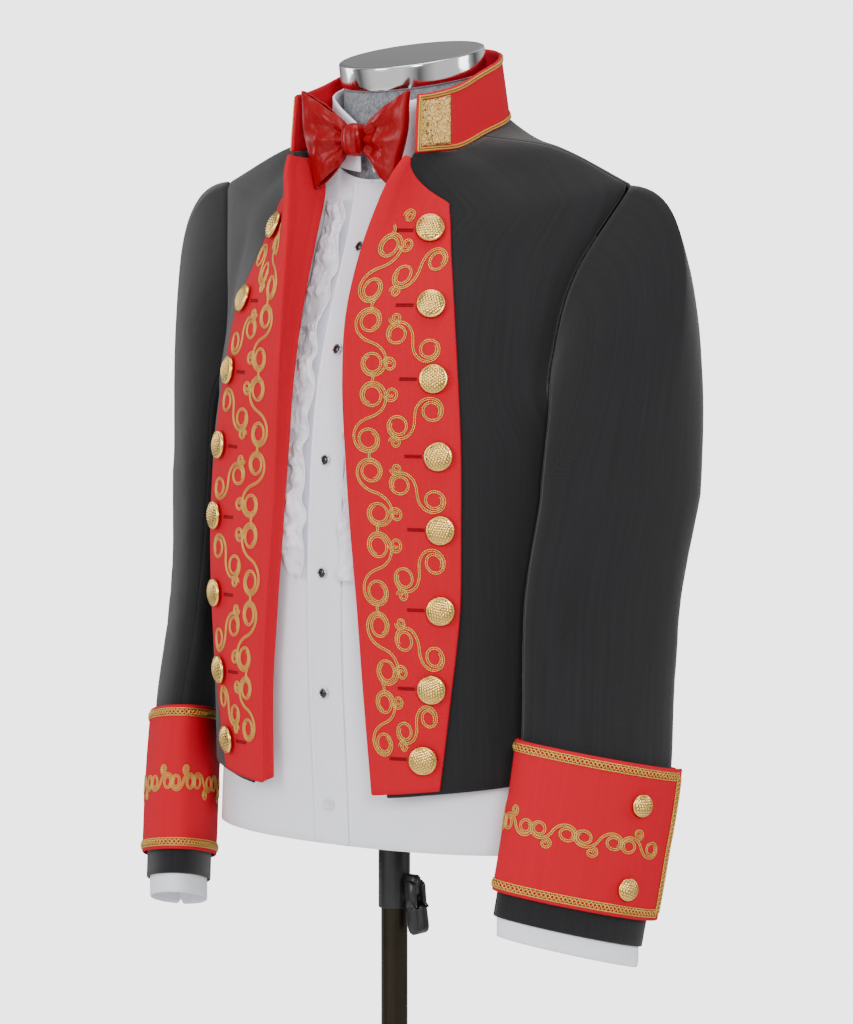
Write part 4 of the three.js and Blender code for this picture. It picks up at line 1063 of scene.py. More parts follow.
class Graph:
    """A material's nodes."""

    def __init__(self, name: str) -> None:
        """Starts an empty material with an output.

        Args:
            name: the material's name.
        """
        self.material = bpy.data.materials.new(name)
        self.material.use_nodes = True
        self.tree = self.material.node_tree
        self.tree.nodes.clear()
        self.output = self.tree.nodes.new("ShaderNodeOutputMaterial")

    def node(
        self, kind: str, settings: dict[str, Any], inputs: dict[str | int, Any], out: str | int = 0
    ) -> Value:
        """Adds any node.

        Args:
            kind: the node's type.
            settings: its settings, set first; "stops" are a ramp's (place, colour) pairs.
            inputs: socket name or number to a value or a wrapped link.
            out: name or number of the output to return.

        Returns:
            The output, wrapped.
        """
        made = self.tree.nodes.new(kind)
        for key, value in settings.items():
            if key == "stops":
                ramp = made.color_ramp.elements
                while len(ramp) < len(value):
                    ramp.new(0.5)
                for stop, (place, colour) in zip(ramp, value):
                    stop.position = place
                    stop.color = (*colour, 1.0)
            else:
                setattr(made, key, value)
        for key, value in inputs.items():
            if isinstance(value, Value):
                self.tree.links.new(value.socket, made.inputs[key])
            else:
                made.inputs[key].default_value = value
        return Value(self, made.outputs[out])

    def object_place(self) -> Value:
        """The point on the object, in metres."""
        return self.node("ShaderNodeTexCoord", {}, {}, "Object")

    def cloth_place(self) -> Value:
        """The place on the cloth, u across and v along, in metres."""
        return self.node("ShaderNodeUVMap", {"uv_map": "cloth"}, {})

    def part(self, vector: Value, axis: str) -> Value:
        """One number of a vector."""
        return self.node("ShaderNodeSeparateXYZ", {}, {0: vector}, axis)

    def noise(
        self, scale: float, detail: float = 2.0, place: Value | None = None, roughness: float = 0.5
    ) -> Value:
        """Cloudy noise from 0 to 1, scale patches to the metre."""
        place = place or self.object_place()
        inputs = {"Vector": place, "Scale": scale, "Detail": detail, "Roughness": roughness}
        return self.node("ShaderNodeTexNoise", {}, inputs, "Fac")

    def stretched(self, place: Value, scale: tuple[float, float, float]) -> Value:
        """A place stretched along each axis."""
        return self.node("ShaderNodeMapping", {}, {"Vector": place, "Scale": scale})

    def blend(self, share: Value | float, a: Sequence[float] | Value, b: Sequence[float] | Value) -> Value:
        """A colour at a share of the way from a to b."""
        settings = {"data_type": "RGBA", "clamp_factor": True}
        a, b = (c if isinstance(c, Value) else (*c, 1.0) for c in (a, b))
        return self.node("ShaderNodeMix", settings, {0: share, 6: a, 7: b}, 2)

    def bump(self, height: Value, distance: float, strength: float = 1.0, under: Value | None = None) -> Value:
        """A normal bent by a height in units of distance, in metres."""
        inputs: dict[str | int, Any] = {"Height": height, "Distance": distance, "Strength": strength}
        if under is not None:
            inputs["Normal"] = under
        return self.node("ShaderNodeBump", {}, inputs)

    def surface(self, **sockets: Any) -> bpy.types.Material:
        """Ends the material in one Principled shader.

        Args:
            sockets: its inputs, with _ for a space.

        Returns:
            The material.
        """
        inputs = {key.replace("_", " "): value for key, value in sockets.items()}
        for key in ("Base Color", "Sheen Tint", "Emission Color"):
            if key in inputs and not isinstance(inputs[key], Value):
                inputs[key] = (*inputs[key], 1.0)
        shader = self.node("ShaderNodeBsdfPrincipled", {}, inputs)
        self.tree.links.new(shader.socket, self.output.inputs["Surface"])
        return self.material


# ---- finishes ------------------------------------------------------------------------------
@dataclass(frozen=True)
class Wool:
    """Worsted cloth: a fine twill, slubs along the warp and a little sheen."""

    name: str
    colour: tuple[float, float, float]
    light: tuple[float, float, float]
    twill: float = 0.0011  # metres from rib to rib
    slub: float = 0.35  # how much of the light colour the slubs show
    roughness: float = 0.78
    sheen: float = 0.16

    def material(self) -> bpy.types.Material:
        """Ribs are a sine of u + v, and slubs a noise stretched along v."""
        g = Graph(self.name)
        place = g.cloth_place()
        u, v = g.part(place, "X"), g.part(place, "Y")
        rib = ((u + v * 0.6) * (TURN / self.twill)).wave()
        yarn = g.noise(1.0, 2.0, g.stretched(place, (1900.0, 60.0, 1.0)))
        slub = g.noise(1.0, 2.0, g.stretched(place, (260.0, 9.0, 1.0)))
        cloud = g.noise(7.0, 3.0)
        share = (slub * 0.9 + yarn * 0.5 + cloud * 0.5 - 0.65).clamped() * self.slub
        colour = g.blend(share + rib * 0.06, self.colour, self.light)
        height = rib * 0.5 + yarn * 0.8 + slub * 0.4
        return g.surface(
            Base_Color=colour,
            Roughness=(yarn * 0.15 + (self.roughness - 0.07)).clamped(),
            Normal=g.bump(height, 0.00012, 0.7),
            Sheen_Weight=self.sheen,
            Sheen_Roughness=0.5,
            Specular_IOR_Level=0.2,
        )


@dataclass(frozen=True)
class Cotton:
    """Plain woven shirting: a fine crossed weave, faintly creased."""

    name: str = "white_cotton"
    colour: tuple[float, float, float] = (0.92, 0.93, 1.0)
    # a blue-grey that the yarn's own tone and the painted shade in the creases mix towards
    shade: tuple[float, float, float] = (0.84, 0.86, 0.96)

    def material(self) -> bpy.types.Material:
        """The weave is the sum of sines of u and v, with soft creases from noise that also darken the colour towards
        blue-grey as painted shade.
        """
        g = Graph(self.name)
        place = g.cloth_place()
        u, v = g.part(place, "X"), g.part(place, "Y")
        weave = (u * (TURN / 0.0009)).wave() * 0.5 + (v * (TURN / 0.0009)).wave() * 0.5
        crease = g.noise(26.0, 4.0, None, 0.6)
        fine = g.noise(90.0, 3.0)
        thread = g.noise(1.0, 1.0, g.stretched(place, (1500.0, 90.0, 1.0)))
        first = g.bump(crease + fine * 0.25, 0.0016, 0.45)
        return g.surface(
            # The crease noise darkens the colour as painted shade; the thread noise is the yarn's own tone.
            Base_Color=g.blend((thread * 0.35 + crease * 0.3 - 0.12).clamped(), self.colour, self.shade),
            Roughness=(thread * 0.1 + 0.74).clamped(),
            Normal=g.bump(weave + thread * 0.6, 0.00008, 0.6, first),
            Sheen_Weight=0.12,
            Sheen_Roughness=0.4,
        )


@dataclass(frozen=True)
class Satin:
    """Bright satin: smooth, with a broad gloss broken by faint warp lines."""

    name: str = "red_satin"
    colour: tuple[float, float, float] = (0.30, 0.0003, 0.004)
    deep: tuple[float, float, float] = (0.13, 0.0002, 0.0015)

    def material(self) -> bpy.types.Material:
        """Warp lines are a noise stretched along v."""
        g = Graph(self.name)
        place = g.cloth_place()
        warp = g.noise(1.0, 2.0, g.stretched(place, (2200.0, 70.0, 1.0)))
        cloud = g.noise(40.0, 2.0)
        return g.surface(
            Base_Color=g.blend((cloud * 0.5 + warp * 0.3 - 0.2).clamped(), self.colour, self.deep),
            Roughness=(warp * 0.12 + 0.24).clamped(),
            Normal=g.bump(warp, 0.00006, 0.5),
            Specular_IOR_Level=0.22,
        )


@dataclass(frozen=True)
class GoldThread:
    """Couched metal thread: strands twisted along the cord, with painted highlight on their crests and painted shade
    between them.
    """

    name: str = "gold_thread"
    colour: tuple[float, float, float] = (0.98, 0.66, 0.16)
    # painted shade for the grooves between strands
    deep: tuple[float, float, float] = (0.36, 0.16, 0.02)
    twist: float = 0.0016  # metres from strand to strand along the cord

    def material(self) -> bpy.types.Material:
        """Strands are a sine of v and u that paints shade in the grooves and highlight on the crests, with fine
        painted glints that make every thread a little lighter or darker.
        """
        g = Graph(self.name)
        place = g.cloth_place()
        u, v = g.part(place, "X"), g.part(place, "Y")
        strand = (v * (TURN / self.twist) + u * (TURN / 0.0034)).wave()
        glint = g.noise(1700.0, 1.0)
        # Painted shade and highlight from the strand sine, and painted glints from the fine noise.
        colour = g.blend((strand * 0.75 + glint * 0.4 - 0.05).clamped(), self.deep, self.colour)
        return g.surface(
            Base_Color=colour,
            Metallic=(strand * 0.2 + 0.72).clamped(),
            Roughness=(glint * 0.3 + 0.28).clamped(),
            Normal=g.bump(strand + glint * 0.5, 0.00025, 0.8),
        )


@dataclass(frozen=True)
class Glitter:
    """Cloth set with coarse gold grains that catch the light one by one, by their tilt and by painted glints and shade
    in their colour.
    """

    name: str = "gold_glitter"
    grain: float = 950.0  # grains to the metre

    def material(self) -> bpy.types.Material:
        """Each cell of a Voronoi pattern has a tilt of its own and a colour from near black to bright gold, a painted
        glint on some grains and painted shade on others.
        """
        g = Graph(self.name)
        inputs = {"Vector": g.object_place(), "Scale": self.grain}
        cell = g.node("ShaderNodeTexVoronoi", {}, inputs, "Color")
        painted_light_share = g.part(cell, "X")
        tilt = g.part(cell, "Y")
        # The grains' colours are painted glints and painted shade, beside their real tilt in the bump.
        colour = g.node(
            "ShaderNodeValToRGB",
            {"stops": [(0.0, (0.10, 0.045, 0.006)), (0.5, (0.52, 0.28, 0.055)), (1.0, (1.0, 0.74, 0.30))]},
            {"Fac": painted_light_share},
        )
        return g.surface(
            Base_Color=colour,
            Metallic=(tilt * 0.5 + 0.4).clamped(),
            Roughness=(painted_light_share * 0.35 + 0.2).clamped(),
            Normal=g.bump(tilt + painted_light_share * 0.6, 0.0006, 0.9),
        )


@dataclass(frozen=True)
class GoldPlate:
    """Gilt metal with painted shade in the hollows of its scales, which the mesh's own relief gives."""

    name: str = "gilt_button"
    colour: tuple[float, float, float] = (0.95, 0.62, 0.18)
    # painted shade colour for the hollows between the scales
    deep: tuple[float, float, float] = (0.24, 0.11, 0.018)

    def material(self) -> bpy.types.Material:
        """The attribute relief runs from 0 in a hollow to 1 on a crest, and paints shade into the hollows."""
        g = Graph(self.name)
        relief = g.node("ShaderNodeAttribute", {"attribute_name": "relief"}, {}, "Fac")
        wear = g.noise(420.0, 3.0)
        return g.surface(
            # Painted shade: darker towards the hollows of the scales, with the real wear noise on top.
            Base_Color=g.blend((relief * 1.25 + wear * 0.25 - 0.15).clamped(), self.deep, self.colour),
            Metallic=1.0,
            Roughness=(wear * 0.18 + 0.16).clamped(),
            Normal=g.bump(wear, 0.00005, 0.5),
        )


@dataclass(frozen=True)
class Metal:
    """Polished, painted or bronzed metal with faint marks."""

    name: str
    colour: tuple[float, float, float]
    mark: tuple[float, float, float]
    metallic: float
    roughness: float
    drawn: float = 0.0  # how strongly lines along Z show

    def material(self) -> bpy.types.Material:
        """Marks are a noise drawn out along Z, with fine dust-like specks."""
        g = Graph(self.name)
        lines = g.noise(1.0, 3.0, g.stretched(g.object_place(), (900.0, 900.0, 14.0)))
        cloud = g.noise(30.0, 4.0)
        share = (lines * self.drawn + cloud * 0.4 - 0.15).clamped()
        return g.surface(
            Base_Color=g.blend(share, self.colour, self.mark),
            Metallic=self.metallic,
            Roughness=(cloud * 0.12 + lines * 0.08 * (1 + self.drawn) + (self.roughness - 0.08)).clamped(),
            Normal=g.bump(lines, 0.00003, 0.3 + self.drawn * 0.4),
        )


@dataclass(frozen=True)
class Jersey:
    """Grey marl knit stretched over the form."""

    name: str = "marl_jersey"

    def material(self) -> bpy.types.Material:
        """Flecks are two noises drawn out along Z, over ribs that are a sine of the angle round the neck."""
        g = Graph(self.name)
        fleck = g.noise(1.0, 2.0, g.stretched(g.object_place(), (1500.0, 1500.0, 420.0)))
        patch = g.noise(260.0, 3.0)
        rows = g.noise(1.0, 1.0, g.stretched(g.object_place(), (1200.0, 1200.0, 1600.0)))
        colour = g.node(
            "ShaderNodeValToRGB",
            {"stops": [(0.25, (0.055, 0.06, 0.07)), (0.5, (0.17, 0.18, 0.20)), (0.78, (0.42, 0.43, 0.46))]},
            {"Fac": (fleck * 0.7 + patch * 0.35).clamped()},
        )
        return g.surface(
            Base_Color=colour,
            Roughness=(rows * 0.1 + 0.84).clamped(),
            Normal=g.bump(rows + fleck, 0.0003, 0.6),
            Sheen_Weight=0.2,
        )


@dataclass(frozen=True)
class Polished:
    """A small glossy inlay or a sewn button of shell-like plastic."""

    name: str
    colour: tuple[float, float, float]
    vein: tuple[float, float, float]
    roughness: float = 0.12

    def material(self) -> bpy.types.Material:
        """Soft veins from noise under a gloss."""
        g = Graph(self.name)
        cloud = g.noise(240.0, 3.0)
        return g.surface(
            Base_Color=g.blend((cloud - 0.35).clamped(), self.colour, self.vein),
            Roughness=(cloud * 0.06 + self.roughness).clamped(),
            Coat_Weight=0.4,
        )


class Finishes:
    """One material for each finish, shared by the pieces."""

    def __init__(self) -> None:
        """Makes every material once."""
        self.wool = Wool("black_wool", (0.0075, 0.0075, 0.0085), (0.030, 0.030, 0.033)).material()
        self.red = Wool(
            "red_facing", (0.50, 0.0008, 0.013), (0.62, 0.004, 0.022),
            twill=0.0009, slub=0.5, roughness=0.8, sheen=0.0,
        ).material()
        self.red_thread = Wool(
            "red_thread", (0.16, 0.001, 0.004), (0.26, 0.002, 0.006), twill=0.0007, slub=0.6, sheen=0.0
        ).material()
        self.cotton = Cotton().material()
        self.satin = Satin().material()
        self.thread = GoldThread().material()
        self.glitter = Glitter().material()
        self.gilt = GoldPlate().material()
        self.ring = Metal("stud_ring", (0.72, 0.72, 0.74), (0.5, 0.5, 0.52), 1.0, 0.18).material()
        self.onyx = Polished("black_inlay", (0.006, 0.006, 0.007), (0.02, 0.02, 0.022)).material()
        self.pearl = Polished("shirt_button", (0.78, 0.79, 0.80), (0.62, 0.63, 0.66), 0.25).material()
        self.jersey = Jersey().material()
        self.chrome = Metal("polished_chrome", (0.80, 0.80, 0.81), (0.66, 0.66, 0.68), 1.0, 0.10).material()
        self.black = Metal("black_enamel", (0.009, 0.009, 0.010), (0.028, 0.028, 0.030), 0.0, 0.30).material()
        self.bronze = Metal(
            "dark_bronze", (0.010, 0.0075, 0.004), (0.036, 0.027, 0.014), 0.7, 0.3, 0.9
        ).material()


# ---- putting pieces in the scene -----------------------------------------------------------
class Held(Enum):
    """How a sheet of cloth is held."""

    HUNG = "hung"
    GATHERED = "gathered"
    FOLDED = "folded"
    STRETCHED = "stretched"


@dataclass
class Sheet:
    """What a cloth piece was cut from."""

    grid: Array  # the cloth's middle surface
    held: Held
    rests_on: tuple[str, ...] = ()
    closed: bool = False

    def cut(self) -> tuple[tuple[float, float], float]:
        """The flat size (longest row, longest column) and area of the grid, in metres."""
        grid = np.concatenate([self.grid, self.grid[:, :1]], axis=1) if self.closed else self.grid
        width = arc_lengths(grid, 1)[:, -1].max() * MM
        length = arc_lengths(grid, 0)[-1].max() * MM
        a, b, c, d = grid[:-1, :-1], grid[:-1, 1:], grid[1:, 1:], grid[1:, :-1]
        halves = (np.cross(b - a, c - a), np.cross(c - a, d - a))
        area = sum(np.linalg.norm(half, axis=-1).sum() for half in halves)
        area *= 0.5 * MM**2
        if area > width * length:
            length = area / width
        return (float(width), float(length)), float(area)


def add_mesh(
    name: str, shape: Shape, material: bpy.types.Material, attributes: dict[str, Array] | None = None
) -> bpy.types.Object:
    """Puts a shape into the scene as a smooth-shaded mesh.

    Args:
        name: the object's name.
        shape: the shape, in millimetres.
        material: its finish.
        attributes: numbers for each point, by name.

    Returns:
        The object, at the origin.
    """
    mesh = bpy.data.meshes.new(name)
    mesh.vertices.add(len(shape.points))
    mesh.vertices.foreach_set("co", (shape.points * MM).astype(np.float32).ravel())
    corners = np.concatenate([shape.quads.ravel(), shape.triangles.ravel()]).astype(np.int32)
    quad_starts = np.arange(len(shape.quads)) * 4
    starts = np.concatenate([quad_starts, shape.quads.size + np.arange(len(shape.triangles)) * 3])
    mesh.loops.add(len(corners))
    mesh.loops.foreach_set("vertex_index", corners)
    mesh.polygons.add(len(starts))
    mesh.polygons.foreach_set("loop_start", starts.astype(np.int32))
    mesh.polygons.foreach_set("use_smooth", np.ones(len(starts), bool))
    places = mesh.uv_layers.new(name="cloth")
    uv = np.concatenate([shape.quad_uv.reshape(-1, 2), shape.triangle_uv.reshape(-1, 2)])
    places.data.foreach_set("uv", uv.astype(np.float32).ravel())
    for key, values in (attributes or {}).items():
        mesh.attributes.new(key, "FLOAT", "POINT").data.foreach_set("value", values.astype(np.float32))
    mesh.update(calc_edges=True)
    mesh.validate()
    mesh.materials.append(material)
    made = bpy.data.objects.new(name, mesh)
    bpy.context.scene.collection.objects.link(made)
    return made


def put(
    name: str, shape: Shape, material: bpy.types.Material, slot: str, nodes: Sequence[str] = (),
    body: str = "form", sheet: Sheet | None = None, attributes: dict[str, Array] | None = None,
) -> bpy.types.Object:
    """Adds a piece, lets it ride on a body and stand for the frame's nodes.

    Args:
        name: the piece's name.
        shape: its shape.
        material: its finish.
        slot: the record's material slot.
        nodes: the frame's nodes that it stands for.
        body: the body that it rides on.
        sheet: what it was cut from, for cloth.
        attributes: numbers for each point.

    Returns:
        The piece.
    """
    piece = add_mesh(name, shape, material, attributes)
    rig.ride(piece, body)
    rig.slot(piece, slot)
    if nodes:
        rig.replaces(piece, *nodes)
    if sheet:
        flat, area = sheet.cut()
        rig.sheet(piece, flat=flat, held=sheet.held.value, rests_on=list(sheet.rests_on), area=area)
        LOG.info("%s: cut %.3f x %.3f m, %.4f square metres", name, *flat, area)
    LOG.info("%s: %d points", name, len(shape.points))
    return piece


# ---- the jacket ----------------------------------------------------------------------------
@dataclass
class JacketBody:
    """The black body of the jacket: two fronts and a back, cut off at the waist."""

    finishes: Finishes
    cloth: float = 2.0
    front_edge: float = 0.1  # the front stops this far across, inside the fold
    rows: int = 88
    front_columns: int = 58
    back_columns: int = 92
    drape: float = 1.1  # depth of the soft folds

    def seam_inset(self, t: Array) -> Array:
        """How far across a front or back stops short of its side seam at a level."""
        in_armhole = (t > UNDERARM) & (t < SHOULDER)
        return 3 * (SEAM_GAP + np.where(in_armhole, 0.2, 0.0)) / 190

    def folds(self, points: Array, calm: Array) -> Array:
        """Height of the drape: long upright folds, stilled where calm is 0."""
        return crumple(points * np.array([1.0, 1.0, 0.35]), 150, seed=4) * self.drape * calm

    def build(self) -> None:
        """Makes the fronts and the back."""
        levels = np.linspace(0, NECK, self.rows)
        for side in Side:
            share = np.linspace(0, 1, self.front_columns)
            t, s = mesh_grid(levels, share)
            across = mixed(self.front_edge, 1 - self.seam_inset(t), s)
            grid = Jacket.front(across, t)
            normals = surface_normal(Jacket.front, across, t, Jacket.outside(grid))
            calm = eased(across, 0.47, 0.62) * eased(1 - across, 0.0, 0.12) * eased(NECK - t, 0.2, 1.2)
            grid = grid + normals * (self.folds(grid, calm) * 0.8)[..., None]
            normals = grid_normals(grid, Jacket.outside)
            grid, normals = side.place(grid), side.place(normals)
            cloth = Sheet(grid, Held.HUNG, ("form_torso",))
            shape = wall(grid, normals, self.cloth, lift=-self.cloth / 2)
            nodes = [f"jacket_front_{side.value}"]
            put(f"front_{side.value}", shape, self.finishes.wool, "wool", nodes, sheet=cloth)
        t, s = mesh_grid(levels, np.linspace(-1, 1, self.back_columns))
        across = s * (1 - self.seam_inset(t))
        grid = Jacket.back(across, t)
        normals = surface_normal(Jacket.back, across, t, Jacket.outside(grid))
        calm = eased(1 - np.abs(s), 0.0, 0.15) * eased(NECK - t, 0.2, 1.2)
        seam = np.exp(-((s * 190 / 1.1) ** 2)) * 0.45  # the centre back seam is drawn in
        grid = grid + normals * (self.folds(grid, calm) - seam)[..., None]
        shape = wall(grid, grid_normals(grid, Jacket.outside), self.cloth, lift=-self.cloth / 2)
        cloth = Sheet(grid, Held.HUNG, ("form_torso",))
        put("back", shape, self.finishes.wool, "wool", ["jacket_back"], sheet=cloth)


class LapelMap:
    """Finds places on a turned-back front by millimetres from its fold and by height."""

    def __init__(self, rows: int = 121, columns: int = 181) -> None:
        """Works out a fine grid of the facing's outer face, from the fold's crest to the free edge.

        Args:
            rows: rows of the grid.
            columns: columns, evenly spaced along each row.
        """
        self.levels = np.linspace(0, NECK, rows)
        fine = centripetal(Jacket.facing_rows(self.levels), np.linspace(0, 5 / 9, 400))
        length = arc_lengths(fine, 1)
        self.width = length[:, -1]  # of each row, fold to free edge
        share = np.linspace(0, 1, columns)
        rows_out = []
        for line, along, width in zip(fine, length, self.width):
            at = width * (1 - share)
            rows_out.append(np.stack([np.interp(at, along, line[:, k]) for k in range(3)], axis=1))
        self.grid = np.stack(rows_out)
        self.normals = grid_normals(self.grid, Jacket.outside)

    def row_width(self, z: Array) -> Array:
        """The facing's width at a height of its fold."""
        return np.interp(z, self.grid[:, 0, 2], self.width)

    def at(self, x: Array, z: Array, lift: float) -> tuple[Array, Array]:
        """A point x from the fold at height z, lifted off the facing's outer face, and its normal.

        The row is found by stepping towards the height six times.
        """
        rows, columns = self.grid.shape[:2]
        x, z = np.broadcast_arrays(np.asarray(x, float), np.asarray(z, float))
        row = np.interp(z, self.grid[:, 0, 2], np.arange(rows))
        for _ in range(6):
            width = np.interp(row, np.arange(rows), self.width)
            column = x / width * (columns - 1)
            gap = z - between(self.grid, row, column)[..., 2]
            row = np.clip(row + gap / 4.4, 0, rows - 1.001)
        normal = unit(between(self.normals, row, column))
        return between(self.grid, row, column) + normal * (FACING_CLOTH / 2 + lift), normal


@dataclass
class TurnedFronts:
    """The red turned-back fronts with their embroidery, buttonholes and gilt buttons."""

    finishes: Finishes
    rows: int = 112
    columns: int = 86
    cord_width: float = 1.0
    cord_spread: float = 1.5
    button_diameter: float = 24.0
    hole_length: float = 15.0
    hole_start: float = 13.5  # from the button's middle
    usual_width: float = 97.0  # of the facing where the ornament has its full size
    margin: float = 8.0
    slip: float = 2.5  # how far a line may miss its height before it is left out

    def cloth(self, side: Side) -> None:
        """The facing: over the chest, round the soft fold and back beside the shirt."""
        guides = Jacket.facing_rows(np.linspace(0, NECK, self.rows))
        grid = centripetal(guides, np.linspace(0, 1, self.columns) ** 0.92)
        ahead, aside = np.array([0.0, -1.0, 0.0]), np.array([0.3, -1.0, 0.0])
        normals = grid_normals(grid, lambda p: np.where(p[..., 1:2] < -90, ahead, aside))
        calm = eased(np.arange(self.columns) / self.columns, 0.56, 0.75)[None] * np.ones((self.rows, 1))
        soft = crumple(grid * np.array([1.0, 1.0, 0.5]), 120, seed=9) * (0.25 + 1.2 * calm)
        grid = grid + normals * soft[..., None] * 0.5
        grid, normals = side.place(grid), side.place(normals)
        shape = wall(grid, normals, FACING_CLOTH, rim=0.5)
        sheet = Sheet(grid, Held.FOLDED, (f"front_{side.value}",))
        nodes = [f"lapel_{side.value}"]
        put(f"facing_{side.value}", shape, self.finishes.red, "red_cloth", nodes, sheet=sheet)

    @staticmethod
    def spiral(
        centre: tuple[float, float], radius: float, start: float, turns: float, inner: float = 0.16
    ) -> Array:
        """A spiral from its outside in: radius falls evenly as the angle grows.

        Args:
            centre: x from the fold and y up, in millimetres.
            radius: its outer radius.
            start: angle of its outer end, in degrees.
            turns: turns to its middle, clockwise if negative.
            inner: share of the radius left in the middle.

        Returns:
            Points, x and y.
        """
        s = np.linspace(0, 1, max(24, int(abs(turns) * 30)))
        angle = math.radians(start) + TURN * turns * s
        r = radius * mixed(1.0, inner, s**0.9)
        return np.stack([centre[0] + r * np.cos(angle), centre[1] + r * np.sin(angle)], axis=1)

    @staticmethod
    def scroll(
        centre: tuple[float, float], length: float, tilt: float, hand: float = 1.0, turns: float = 1.7
    ) -> Array:
        """An S scroll whose bend grows from its middle to both ends, which curl up opposite ways.

        Its direction at s, from -1 to 1, is hand * turns * 360 degrees * |s| ** bend. The line is those
        directions summed, turned so that its two ends lie along tilt, and sized to its length.

        Args:
            centre: x from the fold and y up, in millimetres.
            length: how far it reaches along its tilt.
            tilt: direction from one curl to the other, in degrees.
            hand: 1 or -1, the way it curls.
            turns: turns of each curl.

        Returns:
            Points, x and y.
        """
        s = np.linspace(-1, 1, SCROLL_POINTS)
        heading = hand * TURN * turns * np.abs(s) ** SCROLL_BEND
        line = np.cumsum(np.stack([np.cos(heading), np.sin(heading)], axis=1), axis=0)
        line -= line[SCROLL_POINTS // 2]
        lean = math.radians(tilt) - math.atan2(*(line[-1] - line[0])[::-1])
        along = np.array([math.cos(lean), math.sin(lean)])
        across = np.array([-math.sin(lean), math.cos(lean)])
        line = line[:, :1] * along + line[:, 1:] * across
        reach = line @ [math.cos(math.radians(tilt)), math.sin(math.radians(tilt))]
        return line * (length / np.ptp(reach)) + centre

    @classmethod
    def ornament(cls, turned: bool) -> list[Array]:
        """The scrolls between two buttons, x from the fold and y up from the middle between them.

        An upright S scroll stands by the fold and a lying one reaches out beside it, each of the other
        hand in the next unit. Curls fill the corners between them, and a small arc joins one upright
        scroll to the next.

        Args:
            turned: whether the scrolls are of the other hand.

        Returns:
            Lines of points, x and y.
        """
        hand = 1.0 if turned else -1.0
        stem_x, stem_height, cross_x, cross_length, curl = 24.0, 56.0, 61.5, 47.0, 6.6
        lines = [
            cls.scroll((stem_x, 0.0), stem_height, 90.0, hand, 1.9),
            cls.scroll((cross_x, 0.0), cross_length, 8.0 * hand, -hand, 1.6),
            cls.spiral((stem_x + 2.75 * curl, 0.34 * stem_height * hand), curl, 180, 1.5 * hand, 0.2),
            cls.spiral((stem_x + 3.1 * curl, -0.36 * stem_height * hand), curl * 0.8, 180, -1.5 * hand, 0.2),
        ]
        swing = np.linspace(-1, 1, 24)
        join = np.stack([stem_x + hand * 2.5 * (1 - swing**2), BUTTON_PITCH / 2 + 4.5 * swing], axis=1)
        return [*lines, join]

    @staticmethod
    def couched(side: Side, path: Array, normal: Array, spread: float, width: float) -> list[Shape]:
        """Two threads laid side by side along a path, spread apart, with the cloth showing between."""
        across = unit(np.cross(unit(np.gradient(path, axis=0)), normal)) * spread / 2
        section = round_section(width, width * 0.9, 6, 0.15)
        lines = (side.place(path + across * sign) for sign in (-1.0, 1.0))
        return [swept(line, side.place(normal), section, taper=1.5) for line in lines]

    @classmethod
    def garland(cls) -> list[Array]:
        """One unit of the cuff's row, x along it and y across.

        Two lying S scrolls of opposite hands, end to end, with a small curl in the hollow of each.
        """
        half, tilt, curl = BUTTON_PITCH / 2, 16.0, 4.4
        lines = []
        for number, hand in enumerate((1.0, -1.0)):
            middle = half * (number + 0.5)
            lines.append(cls.scroll((middle, 0.0), half * 0.98, tilt * hand, hand, 1.6))
            hollow = (middle + half * 0.12, -hand * curl * 2.3)
            lines.append(cls.spiral(hollow, curl, 90 * hand, 1.4 * hand, 0.2))
        return lines

    def embroidery(self, side: Side, lapel: LapelMap) -> None:
        """Lays the ornament between the buttons, narrower where the facing is, as couched double cord."""
        shapes = []
        heights = (*LAPEL_BUTTON_HEIGHTS, 2 * LAPEL_BUTTON_HEIGHTS[-1] - LAPEL_BUTTON_HEIGHTS[-2])
        for number, (low, high) in enumerate(zip(heights[:-1], heights[1:])):
            middle, pitch = (low + high) / 2, high - low
            squeeze = float(np.clip(lapel.row_width(middle) / self.usual_width, 0.5, 1.06))
            for line in self.ornament(number % 2 == 0):
                x = line[:, 0] * squeeze + 2.0 * (1 - squeeze)
                z = middle + line[:, 1] * pitch / BUTTON_PITCH
                if x.max() > lapel.row_width(middle) - self.margin:
                    continue
                x, z = self.evenly(x, z)
                path, normal = lapel.at(x, z, 0.15)
                if np.abs(path[:, 2] - z).max() > self.slip:
                    continue
                shapes += self.couched(side, path, normal, self.cord_spread, self.cord_width)
        stitched = joined(shapes)
        put(f"scrolls_{side.value}", stitched, self.finishes.thread, "gold_cloth")

    @staticmethod
    def evenly(x: Array, z: Array, step: float = 1.5) -> tuple[Array, Array]:
        """A line's points again at even steps along it."""
        length = np.append(0, np.cumsum(np.hypot(np.diff(x), np.diff(z))))
        at = np.linspace(0, length[-1], max(8, int(length[-1] / step)))
        return np.interp(at, length, x), np.interp(at, length, z)

    def buttonholes(self, side: Side, lapel: LapelMap) -> None:
        """A pair of dark red stitched bars from each button towards the fold."""
        shapes = []
        section = round_section(1.15, 0.9, 6, 0.15)
        for height in LAPEL_BUTTON_HEIGHTS:
            seat, _ = Jacket.button_seat(height)
            column = self.fold_distance(lapel, seat)
            for offset in (-0.75, 0.75):
                x = np.linspace(column - self.hole_start, column - self.hole_start - self.hole_length, 26)
                path, normal = lapel.at(x, height + offset + 0 * x, 0.1)
                shapes.append(swept(side.place(path), side.place(normal), section, taper=2.0))
        put(f"buttonholes_{side.value}", joined(shapes), self.finishes.red_thread, "red_cloth")

    @staticmethod
    def fold_distance(lapel: LapelMap, point: Array) -> float:
        """How far a point of the facing lies from the fold: the nearest column of the map."""
        away = np.linalg.norm(lapel.grid - point, axis=-1)
        row, column = np.unravel_index(np.argmin(away), away.shape)
        return float(lapel.width[row] * column / (lapel.grid.shape[1] - 1))

